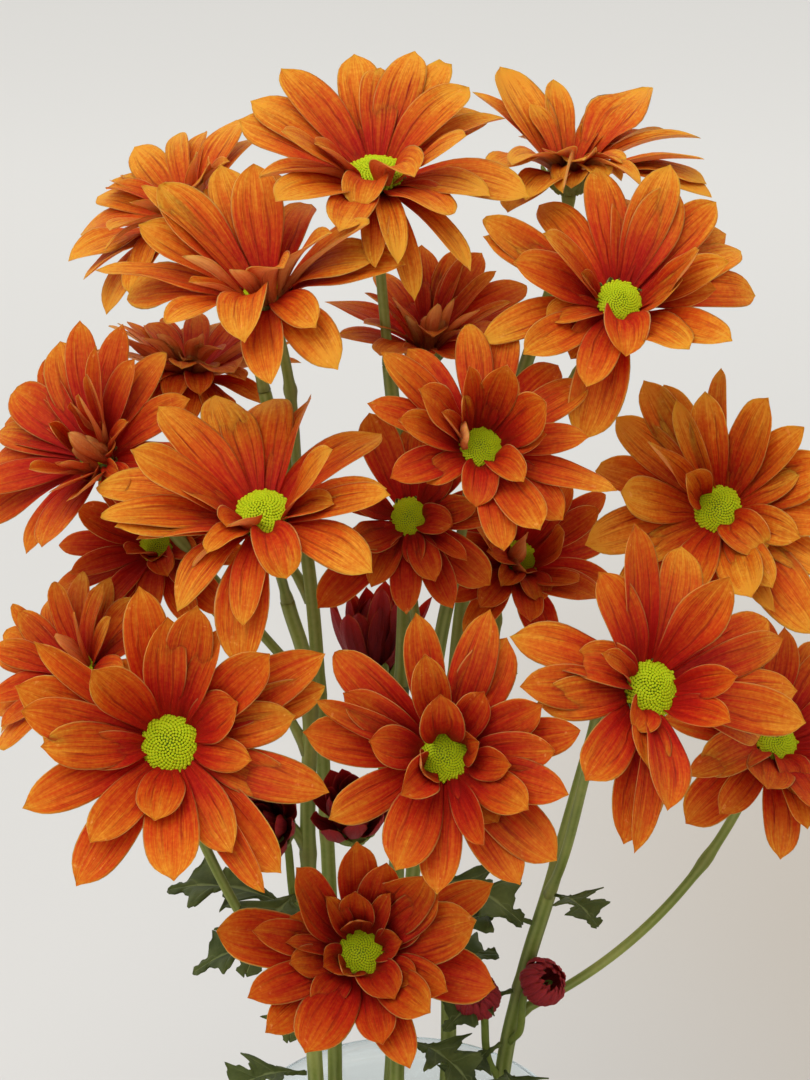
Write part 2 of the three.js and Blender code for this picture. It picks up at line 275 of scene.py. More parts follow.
# %% A material as it is mixed
class Paint:
    """A material with a Principled surface, whose nodes are added one call at a time."""

    def __init__(self, name, **surface):
        self.material = bpy.data.materials.new(name)
        self.material.use_nodes = True
        self.tree = self.material.node_tree
        self.surface = self.tree.nodes["Principled BSDF"]
        self.set(self.surface, {key.replace("_", " "): value for key, value in surface.items()})

    def set(self, node, values):
        """Gives each named socket of a node its number, colour or link."""
        for key, value in values.items():
            if isinstance(value, Shade):
                self.tree.links.new(value.socket, node.inputs[key])
            else:
                node.inputs[key].default_value = value

    def node(self, kind, settings=None, values=None, output=0):
        """Adds a node of a kind, with its settings first, then its sockets' values or links."""
        node = self.tree.nodes.new(kind)
        for key, value in (settings or {}).items():
            if key == "stops":
                self.stops(node.color_ramp.elements, value)
            else:
                setattr(node, key, value)
        self.set(node, values or {})
        return Shade(self, node.outputs[output])

    def stops(self, elements, stops):
        """Fills a colour ramp with (position, colour) stops."""
        for number, (position, colour) in enumerate(stops):
            element = elements[number] if number < 2 else elements.new(position)
            element.position = position
            element.color = (*colour, 1)

    def value(self, attribute):
        """A number stored on the mesh for each point."""
        return self.node("ShaderNodeAttribute", {"attribute_name": attribute}, output="Fac")

    def place(self):
        """The point's place on the object, in metres."""
        return self.node("ShaderNodeTexCoord", output="Object")

    def noise(self, vector, scale, detail):
        """Cloudy noise from 0 to 1, with scale bumps for each unit of the vector. A higher
        detail adds finer bumps to it."""
        return self.node("ShaderNodeTexNoise", {}, {"Vector": vector, "Scale": scale, "Detail": detail})

    def join(self, x, y, z):
        """Three numbers as one vector."""
        return self.node("ShaderNodeCombineXYZ", {}, {0: x, 1: y, 2: z})

    def ramp(self, factor, stops):
        """The colour that a ramp of (position, colour) stops gives for a number."""
        return self.node("ShaderNodeValToRGB", {"stops": stops}, {"Fac": factor}, output="Color")

    def mix(self, amount, under, over):
        """Colour under where amount is 0, over where it is 1."""
        def rgba(colour):
            return colour if isinstance(colour, Shade) else (*colour, 1)
        return self.node("ShaderNodeMix", {"data_type": "RGBA"},
                         {0: amount, 6: rgba(under), 7: rgba(over)}, output=2)

    def bump(self, height, distance, strength):
        """Normals tilted as if the surface stood height times distance (metres) proud."""
        return self.node("ShaderNodeBump", {}, {"Height": height, "Distance": distance, "Strength": strength})

    def done(self, **links):
        """Links what varies over the surface and gives the material back."""
        self.set(self.surface, {key.replace("_", " "): value for key, value in links.items()})
        return self.material


# %% [markdown]
# ## The petals' colour
# A petal of this spray flower is brick red where it leaves the head and lightens through
# burnt orange to a golden tip. Fine fibres and veins run along it, two darker furrows
# divide it, and a thin pale line follows its edge, brightened further as a painted
# highlight. The back is paler, and lightened further as painted light that stands in for
# light shining through the thin petal. Every petal stores how far along and across it each
# point is, so one material paints all of them, and a random number for each petal keeps
# any two from looking alike. Each flower also stores one number that makes its petals more
# golden or darker and redder: partly the flower's own colour, partly painted light and
# painted shade for how it is lit in the bouquet.

# %% Petal paint
def petal_paint(name, stops, furrow_colour, edge_colour, back_and_glow_stops):
    """Colour along the petal, shifted by fibres, streaks, ripeness and painted light, then furrows, a pale
    edge with a painted highlight, flecks, a back lightened as painted light, and painted shade.
    """
    paint = Paint(name, Roughness=0.6, Specular_IOR_Level=0.1, Subsurface_Weight=0.4,
                  Subsurface_Scale=0.002, Subsurface_Radius=(1.0, 0.3, 0.08))
    along, across = paint.value("along"), paint.value("across")
    chance, youth, back = paint.value("chance"), paint.value("youth"), paint.value("back")
    ripe = paint.value("ripe")
    fibres = paint.noise(paint.join(across * 22, along * 2.0, chance * 91), 2.2, 3)
    streaks = paint.noise(paint.join(across * 4.5, along * 0.9, chance * 57 + 5), 2.0, 2)
    field = paint.noise(paint.join(across * 6, along * 0.8, chance * 71 + 3), 1.6, 1)
    blotches = paint.noise(paint.place(), 190, 3)
    grain = paint.noise(paint.place(), 1100, 2)
    wobble = paint.noise(paint.join(across * 0.6, along * 2.2, chance * 33), 1.5, 1)
    off_furrow = ((across + (wobble - 0.5) * 0.35).absolute() - 0.34).absolute()
    furrows = (1 - off_furrow.between(0.0, 0.075)) * along.between(0.03, 0.2) * (1 - along.between(0.6, 0.95))
    furrows = furrows * streaks.between(0.35, 0.6)
    veins = (1 - (field - 0.5).absolute().between(0.0, 0.03)) * (1 - along.between(0.75, 1.0))
    # The flower's number shifts the tone: partly its own colour, partly painted light and painted shade.
    tone = (along * 0.9 + (fibres - 0.5) * 0.6 + (streaks - 0.5) * 0.65 + (blotches - 0.5) * 0.3
            + (grain - 0.5) * 0.45 + (chance - 0.5) * 0.2 - youth * 0.14 + ripe - 0.02)
    lines = furrows * 0.75 + veins * 0.45
    face = paint.mix(lines, paint.ramp(tone, stops), furrow_colour)
    # The back is paler, and its tone is lifted by 0.2 as painted light that stands in for light shining
    # through the thin petal.
    reverse_and_glow = paint.mix(lines * 0.35, paint.ramp(tone + 0.2, back_and_glow_stops), furrow_colour)
    colour = paint.mix(back * 0.85, face, reverse_and_glow)
    # A pale line along the edge: partly the petal's own pale margin, partly a painted highlight that keeps
    # the sideways edges bright.
    rim = across.absolute().between(0.86, 0.98) * along.between(0.2, 0.6)
    colour = paint.mix(rim * 0.55, colour, edge_colour)
    fleck = paint.noise(paint.place(), 620, 2).between(0.66, 0.74) * along.between(0.7, 0.95)
    colour = paint.mix(fleck * 0.35, colour, edge_colour)
    height = fibres * 0.5 + streaks * 0.5 - furrows * 0.8 - veins * 0.3
    # Painted shade: a flower whose number is below 0 is mixed towards near black, for the shadow it sits in.
    colour = paint.mix((0 - ripe).between(0.0, 0.3) * 0.3, colour, (0.02, 0.003, 0.002))
    return paint.done(Base_Color=colour, Roughness=0.52 + fibres * 0.2,
                      Normal=paint.bump(height, 0.00045, 0.7))


PETAL = petal_paint(
    "petal",
    stops=[(0.0, (0.30, 0.004, 0.0025)), (0.2, (0.39, 0.010, 0.003)), (0.42, (0.455, 0.040, 0.003)),
           (0.62, (0.51, 0.088, 0.004)), (0.8, (0.56, 0.155, 0.008)), (1.0, (0.64, 0.26, 0.02))],
    furrow_colour=(0.24, 0.008, 0.003), edge_colour=(0.84, 0.38, 0.10),
    back_and_glow_stops=[(0.0, (0.60, 0.085, 0.018)), (0.5, (0.82, 0.23, 0.052)), (1.0, (0.94, 0.41, 0.12))])
# Dark maroon for the half-open flowers and buds: partly their own colour, partly painted shade deep in the
# bouquet.
DARK_AND_SHADED_PETAL = petal_paint(
    "dark_petal",
    stops=[(0.0, (0.09, 0.003, 0.004)), (0.5, (0.18, 0.007, 0.008)), (1.0, (0.30, 0.016, 0.014))],
    furrow_colour=(0.05, 0.002, 0.003), edge_colour=(0.34, 0.04, 0.03),
    back_and_glow_stops=[(0.0, (0.13, 0.006, 0.009)), (1.0, (0.28, 0.022, 0.026))])

# %% [markdown]
# ## The green pieces' colours
# Stems are olive green with paler ridges. The flower's centre is packed with lime-green
# florets, painted darker where they meet as painted shade between them. Leaves are a dull
# dark green above with pale veins. All three vary a little from place to place, which
# Object coordinates give.

# %% Stem, floret and leaf paint
def stem_paint():
    """Green that drifts along the stem, with a paler ridge and a light fuzz in the normals."""
    paint = Paint("stem", Roughness=0.55, Specular_IOR_Level=0.2, Subsurface_Weight=0.08,
                  Subsurface_Scale=0.001)
    ridge, joint = paint.value("ridge"), paint.value("joint")
    cloud = paint.noise(paint.place(), 45, 3)
    speck = paint.noise(paint.place(), 900, 2)
    green = paint.ramp(cloud + (speck - 0.5) * 0.25, [
        (0.25, (0.085, 0.115, 0.014)), (0.5, (0.15, 0.185, 0.028)), (0.75, (0.25, 0.27, 0.06))])
    green = paint.mix(ridge * 0.4, green, (0.34, 0.36, 0.12))
    green = paint.mix(joint * 0.5, green, (0.16, 0.11, 0.035))
    return paint.done(Base_Color=green, Roughness=0.45 + speck * 0.2,
                      Normal=paint.bump(speck, 0.0002, 0.5))


def floret_paint():
    """Lime florets: painted shade darkens their feet, where they meet, and their dimples; bright on their
    heads, yellower at the disc's rim.
    """
    paint = Paint("floret", Roughness=0.5, Specular_IOR_Level=0.12, Subsurface_Weight=0.15,
                  Subsurface_Scale=0.001)
    head, rim = paint.value("head"), paint.value("rim")
    cloud = paint.noise(paint.place(), 700, 2)
    # Painted shade: dark where the florets meet at their feet and in their dimples, bright on their heads.
    green = paint.ramp(head + (cloud - 0.5) * 0.3, [
        (0.0, (0.09, 0.15, 0.002)), (0.5, (0.26, 0.36, 0.003)), (1.0, (0.46, 0.55, 0.006))])
    green = paint.mix(rim * 0.35, green, (0.46, 0.43, 0.008))
    return paint.done(Base_Color=green, Normal=paint.bump(cloud, 0.0002, 0.4))


def leaf_paint():
    """Dull green between paler veins: a midrib and side veins that slant to the lobes."""
    paint = Paint("leaf", Roughness=0.6, Specular_IOR_Level=0.15)
    along, across = paint.value("along"), paint.value("across")
    cloud = paint.noise(paint.place(), 120, 3)
    grain = paint.noise(paint.place(), 1300, 2)
    slant = (along - across.absolute() * 0.16) * 16
    side_veins = (1 - slant.sine().absolute()) ** 6 * (1 - across.absolute().between(0.6, 1.0))
    midrib = 1 - across.absolute().between(0.02, 0.10)
    green = paint.ramp(cloud + (grain - 0.5) * 0.2, [
        (0.25, (0.030, 0.042, 0.009)), (0.5, (0.055, 0.072, 0.015)), (0.8, (0.10, 0.12, 0.028))])
    green = paint.mix(side_veins * 0.35, green, (0.17, 0.20, 0.06))
    green = paint.mix(midrib * 0.6, green, (0.22, 0.26, 0.09))
    height = grain * 0.3 - side_veins * 0.7 - midrib
    return paint.done(Base_Color=green, Normal=paint.bump(height, 0.0005, 0.6))


STEM, FLORET, LEAF = stem_paint(), floret_paint(), leaf_paint()

# %% [markdown]
# ## One petal
# A petal is a thin blade. It grows from a narrow foot, widens to about two thirds of its
# length and closes to a blunt point. Its midrib leaves the flower head steeply and bends
# outwards, its two halves cup upwards, and two furrows run along it. All of that is a
# formula in two parameters, how far along and how far across, so one function makes
# every petal of a flower at once: its arrays have a row for each petal.

# %% The petal's grid
# A ring of points goes over the petal's face from one edge to the other and back under it.
ACROSS = np.array([-3, -2, -1, 0, 1, 2, 3, 2, 1, 0, -1, -2]) / 3
SIDE = np.array([0, 1, 1, 1, 1, 1, 0, -1, -1, -1, -1, -1])
ALONG = np.array([0, 0.16, 0.34, 0.52, 0.68, 0.82, 0.93, 1])
FINE_STEPS = 4
WIDEST = 0.62
FOOT_WIDTH = 0.3
TIP_WIDTH = 0.13
NOTCH_WIDTH, NOTCH_DEPTH, POINT_LENGTH = 0.3, 0.07, 0.03
SWELL = 1.25
BEND = 1.2
THICKNESS, THIN_ENDS = 0.42, 0.25
FOOT_CUP = 1.5
WAVES = 1.3


def outline(along, point, notch):
    """Half width of a petal as a share of its widest: a power of a sine that grows from the
    foot up to WIDEST, then the root of 1 - x^point, so a larger point gives a rounder tip."""
    grow = blend(FOOT_WIDTH, 1, np.sin(np.pi / 2 * np.minimum(along / WIDEST, 1)) ** SWELL)
    x = np.clip((along - WIDEST) / (1 - WIDEST), 0, 1)
    tip = TIP_WIDTH + NOTCH_WIDTH * notch
    return grow * np.sqrt(1 - (1 - tip ** 2) * x ** point)


def midribs(length, rise, ends):
    """Places (out, up) along each midrib, and its slope in radians. The slope turns from
    rise to ends as along^BEND, and the places are the running sum of its small steps."""
    fine = np.linspace(0, 1, (len(ALONG) - 1) * FINE_STEPS + 1)
    place = np.interp(fine, np.linspace(0, 1, len(ALONG)), ALONG)
    middle = (place[1:] + place[:-1]) / 2
    angle = np.radians(blend(rise[:, None], ends[:, None], middle ** BEND))
    step = length[:, None] * np.diff(place)
    out = np.cumsum(np.cos(angle) * step, 1)[:, FINE_STEPS - 1::FINE_STEPS]
    up = np.cumsum(np.sin(angle) * step, 1)[:, FINE_STEPS - 1::FINE_STEPS]
    zero = np.zeros((len(length), 1))
    slope = np.radians(blend(rise[:, None], ends[:, None], ALONG ** BEND))
    return np.hstack([zero, out]), np.hstack([zero, up]), slope


def petal_points(petals):
    """Points of every petal round the flower's axis, in the flower's own directions.
    Across the midrib, a point is x = half width * across to the side, and stands
    cup * across^2 + furrow * cos(3 pi across) + edge wave + half the thickness above it.
    The cup deepens towards the foot, and a point or a notch ends the midrib."""
    p = {key: np.asarray(numbers, float)[:, None, None] for key, numbers in petals.items()}
    along, across, side = ALONG[None, :, None], ACROSS[None, None, :], SIDE[None, None, :]
    half = p["width"] / 2 * outline(along, p["point"], p["notch"])
    out, up, slope = midribs(*(np.asarray(petals[key], float) for key in ("length", "rise", "ends")))
    out, up, slope = out[:, :, None], up[:, :, None], slope[:, :, None]
    body = np.sqrt(np.sin(np.pi * along))
    x = half * across
    y = (p["cup"] * half * (1 + FOOT_CUP * (1 - along) ** 3) * (across ** 2 - 0.3)
         + p["furrow"] * body * np.cos(3 * np.pi * across)
         + p["wave"] * half * np.abs(across) ** 3 * body
         * np.sin(2 * np.pi * (WAVES * along + p["phase"] + 0.25 * np.sign(across)))
         + THICKNESS / 2 * side * blend(THIN_ENDS, 1, body))
    turn = np.radians(p["twist"]) * along
    x, y = x * np.cos(turn) - y * np.sin(turn), x * np.sin(turn) + y * np.cos(turn)
    reach = p["length"] * along ** 9 * (POINT_LENGTH - p["notch"] * NOTCH_DEPTH) * (1 - np.abs(across))
    aside = x + p["bend"] * p["length"] * along ** 2
    radial = p["foot"] + out - np.sin(slope) * y + np.cos(slope) * reach
    height = p["height"] + up + np.cos(slope) * y + np.sin(slope) * reach
    angle = np.radians(p["angle"])
    return np.stack([radial * np.cos(angle) - aside * np.sin(angle),
                     radial * np.sin(angle) + aside * np.cos(angle), height], -1)


def petal_faces(count):
    """Faces of count petals: the skin round each one and a cap at its foot and its tip, of
    strips from one side to the other. Those at the edges meet in a corner."""
    ring = len(ACROSS)
    skin = grid_faces(len(ALONG), ring, closed=True)
    size = len(ALONG) * ring
    skins = (skin[None] + size * np.arange(count)[:, None, None]).reshape(-1, 4).tolist()
    near = np.arange(ring // 2)
    far = (ring - near) % ring
    strip = np.stack([near[:-1], near[1:], far[1:], far[:-1]], -1)
    strip = np.vstack([strip, [ring // 2 - 1, ring // 2, ring // 2, ring // 2 + 1]])
    caps = []
    for start, order in ((0, 1), (size - ring, -1)):
        caps += [list(dict.fromkeys(corner + start for corner in face))[::order] for face in strip.tolist()]
    every = [[corner + size * number for corner in face] for number in range(count) for face in caps]
    return skins + every


# %% Whorls of petals
# How much the petals of a whorl differ at random: in degrees, millimetres or shares.
SPREADS = {"angle": 3, "length": 0.06, "width": 0.09, "rise": 4, "ends": 8, "cup": 0.10, "furrow": 0.08,
           "wave": 0.2, "twist": 11, "bend": 0.035, "point": 0.35, "notch": 0.25, "youth": 0.05}
FURROW, TWIST, POINT, NOTCH = 0.40, 5, 2.45, -0.18
SHINGLE = 4
LIFT_AT_FOOT = 0.4


def whorl(rng, angles, length, width, rise, ends, cup, foot, height, youth, stand=0.0, loose=1.0):
    """A ring of petals at the given angles, each a little different: longer, wider, steeper
    or more twisted at random. Every other one is SHINGLE degrees steeper. stand lifts those
    on the far side and drops the near ones. loose scales how much they differ."""
    count = len(angles)

    def vary(key):
        return rng.normal(0, SPREADS[key], count) * loose

    turned = np.asarray(angles, float) + vary("angle")
    lift = stand * np.sin(np.radians(turned))
    shingle = SHINGLE * (np.arange(count) % 2 - 0.5)
    return {
        "angle": turned, "length": length * (1 + vary("length")), "width": width * (1 + vary("width")),
        "rise": rise + LIFT_AT_FOOT * lift + shingle + vary("rise"),
        "ends": ends + lift + shingle + vary("ends"),
        "cup": np.clip(cup + vary("cup"), 0.02, 1.2), "furrow": FURROW + vary("furrow"),
        "wave": np.abs(vary("wave")), "phase": rng.random(count), "twist": vary("twist") + TWIST,
        "bend": vary("bend"), "foot": np.full(count, foot), "height": np.full(count, height),
        "point": np.clip(POINT + vary("point"), 1.6, 3.4), "notch": np.clip(vary("notch") + NOTCH, 0, 0.6),
        "chance": rng.random(count), "youth": np.full(count, youth) + vary("youth"),
    }


def gather(whorls):
    """Several whorls as one set of petals."""
    return {key: np.concatenate([ring[key] for ring in whorls]) for key in whorls[0]}


def flower_frame(faces):
    """Three directions of a flower: right as the viewer sees it, up across its face, and out."""
    out = unit(faces)
    right = unit(np.cross((0, 1, 0) if abs(out[1]) < 0.9 else (0, 0, 1), out))
    right = right * (np.sign(right[0]) or 1)
    return np.stack([right, np.cross(out, right), out])


def put(points, at, faces):
    """Points given along a flower's own directions, moved to its place in the bouquet."""
    return np.asarray(at, float) + np.asarray(points) @ flower_frame(faces)


def petal_mesh(petals, at, faces):
    """Points and faces of petals, put in their place in the bouquet."""
    points = petal_points(petals)
    return put(points.reshape(-1, 3), at, faces), petal_faces(len(points))


def petal_values(petals, ripe):
    """The numbers that the petals' paint reads, one for each of their points."""
    values = {"along": ALONG[:, None], "across": ACROSS, "back": SIDE < 0, "ripe": ripe,
              "chance": petals["chance"][:, None, None], "youth": petals["youth"][:, None, None]}
    shape = (len(petals["angle"]), len(ALONG), len(ACROSS))
    return {key: np.broadcast_to(numbers, shape).ravel() for key, numbers in values.items()}


# %% [markdown]
# ## The plan of the bouquet
# Six main stems stand in the jar, and each one forks into stalks that carry flowers. A
# stem is named by the points it passes through. A flower is named by its centre, the way
# it faces, its radius, its stem and the height where its stalk leaves that stem. A
# flower with no such height sits on top of its stem.

# %% Stems and flowers
STEM_RADIUS, STALK_RADIUS, THIN_STALK_RADIUS, GAP = 2.1, 1.4, 1.1, 0.3
STEMS = {
    "left_back": [(-24, -8, 6.8), (-20, 8, 140), (-22, 10, 240), (-26, 8, 310), (-36, 9, 352)],
    "left_front": [(-12, -28, 6.8), (-24, -6, 140), (-26, -6, 229), (-25, -5, 275), (-30, -13, 303)],
    "middle_back": [(-14, 12, 6.8), (-4, 16, 140), (-2, 14, 240), (0, 10, 310), (-4, 6, 360)],
    "middle_front": [(10, -14, 6.8), (-2, -10, 140), (2, -6, 220), (8, -4, 280), (13, -10, 312)],
    "right_back": [(4, 26, 6.8), (12, 12, 140), (12, 14, 240), (18, 16, 310), (34, 20, 365)],
    "right_front": [(18, 10, 6.8), (26, 1, 140), (32, -5, 187), (40, -8, 222), (52, -6, 272)],
}
FLOWERS = {
    # name: centre, faces, radius, stem, fork height (or None)
    "top": ((-7, 0, 410), (0, -.45, .89), 36, "middle_back", None),
    "top_right": ((42, 25, 407), (0, -.02, 1), 34, "right_back", None),
    "upper_right": ((52, -15, 382), (.1, -.71, .68), 34, "right_back", 330),
    "upper_left": ((-34, -20, 386), (-.25, -.31, .91), 35, "left_back", 325),
    "back_left": ((-56, 25, 395), (-.38, -.22, .84), 32, "left_back", None),
    "middle_back": ((6, 20, 363), (.05, -.42, .9), 28, "middle_back", 322),
    "far_left": ((-77, -16, 343), (-.37, -.66, .63), 30, "left_back", 272),
    "left_back": ((-57, 32, 351), (.05, .15, .95), 27, "left_back", 300),
    "left_centre": ((-34, -45, 338), (-.1, -.5, .82), 35, "left_front", None),
    "centre": ((18, -40, 353), (.1, -.79, .6), 29, "middle_front", None),
    "centre_low": ((1, -8, 324), (-.1, -.83, .52), 26, "middle_front", 285),
    "right": ((79, -10, 327), (-.3, -.76, .54), 32, "right_front", None),
    "middle_right": ((30, 12, 305), (.3, -.7, .57), 27, "right_back", 252),
    "left_low": ((-65, 12, 309), (-.2, -.74, .59), 26, "left_front", 262),
    "far_left_low": ((-84, -14, 284), (-.4, -.43, .58), 25, "left_front", 235),
    "front_left": ((-56, -62, 286), (0, -.9, .44), 36.5, "left_front", 185),
    "front_centre": ((9, -78, 290), (0, -.92, .39), 33, "middle_front", 245),
    "front_right": ((58, -62, 300), (.35, -.78, .5), 36, "right_front", 222),
    "far_right": ((96, -15, 265), (.3, -.58, .74), 31, "right_front", 180),
    "bottom": ((-11, -60, 228), (0, -.79, .61), 34, "middle_front", 172),
}
# How far the middle of a stalk is pushed aside.
BOWS = {"front_left": (-7, 2, 0), "far_right": (7, 0, -8)}
# How golden a flower is, partly its own colour and partly painted light and shade for how it
# is lit in the bouquet: above 0 lighter and yellower, below 0 darker, redder and painted darker.
RIPE_AND_SHADE = {"top": 0.14, "top_right": 0.24, "back_left": 0.14, "upper_left": 0.09, "upper_right": 0.07,
        "left_centre": 0.12, "left_back": -0.05, "middle_back": -0.04, "centre_low": -0.15, "right": 0.18,
        "middle_right": -0.1, "left_low": -0.1, "centre": -0.08, "front_centre": -0.13, "bottom": -0.15,
        "far_right": -0.08, "front_right": -0.05, "far_left": -0.1, "front_left": -0.02}
print(len(FLOWERS), "open flowers on", len(STEMS), "stems")

# %% Where a stalk runs
FORK_ANGLE = math.radians(35)
FORK_PULL, HEAD_PULL = 0.4, 0.35
ROOTS = ((0.6, 5.5), (2.0, 2.6))
CALYX_DEPTH = 7
STALK_STEPS, FINE_CURVE = 40, 400


def on_stem(stem, height):
    """The stem's place and direction at a height, read off a finely drawn curve."""
    path = curve_through(STEMS[stem], FINE_CURVE)
    number = len(path) - 1 if height is None else int(np.argmin(np.abs(path[:, 2] - height)))
    return path[number], tangents(path)[number]


def stalk_path(at, faces, stem, fork, depth, radius, bow=(0, 0, 0)):
    """A Bezier curve that leaves the stem at FORK_ANGLE and comes up behind the flower. Two
    points before it, ROOTS away from the stem's axis and down it, grow the stalk out of it."""
    end = np.asarray(at, float) - unit(faces) * depth
    place, along = on_stem(stem, fork)
    roots = []
    if fork is None:
        start, leaves = place + along * GAP, along
    else:
        away = end - place
        away = unit(away - along * (away @ along))
        start = place + away * (STEM_RADIUS + GAP + radius)
        leaves = along * math.cos(FORK_ANGLE) + away * math.sin(FORK_ANGLE)
        roots = [place + away * out - along * down for out, down in ROOTS]
    reach = np.linalg.norm(end - start)
    curve = bezier([start, start + leaves * reach * FORK_PULL + bow,
                    end - unit(faces) * reach * HEAD_PULL + bow, end], STALK_STEPS)
    return np.array([*roots, *curve])
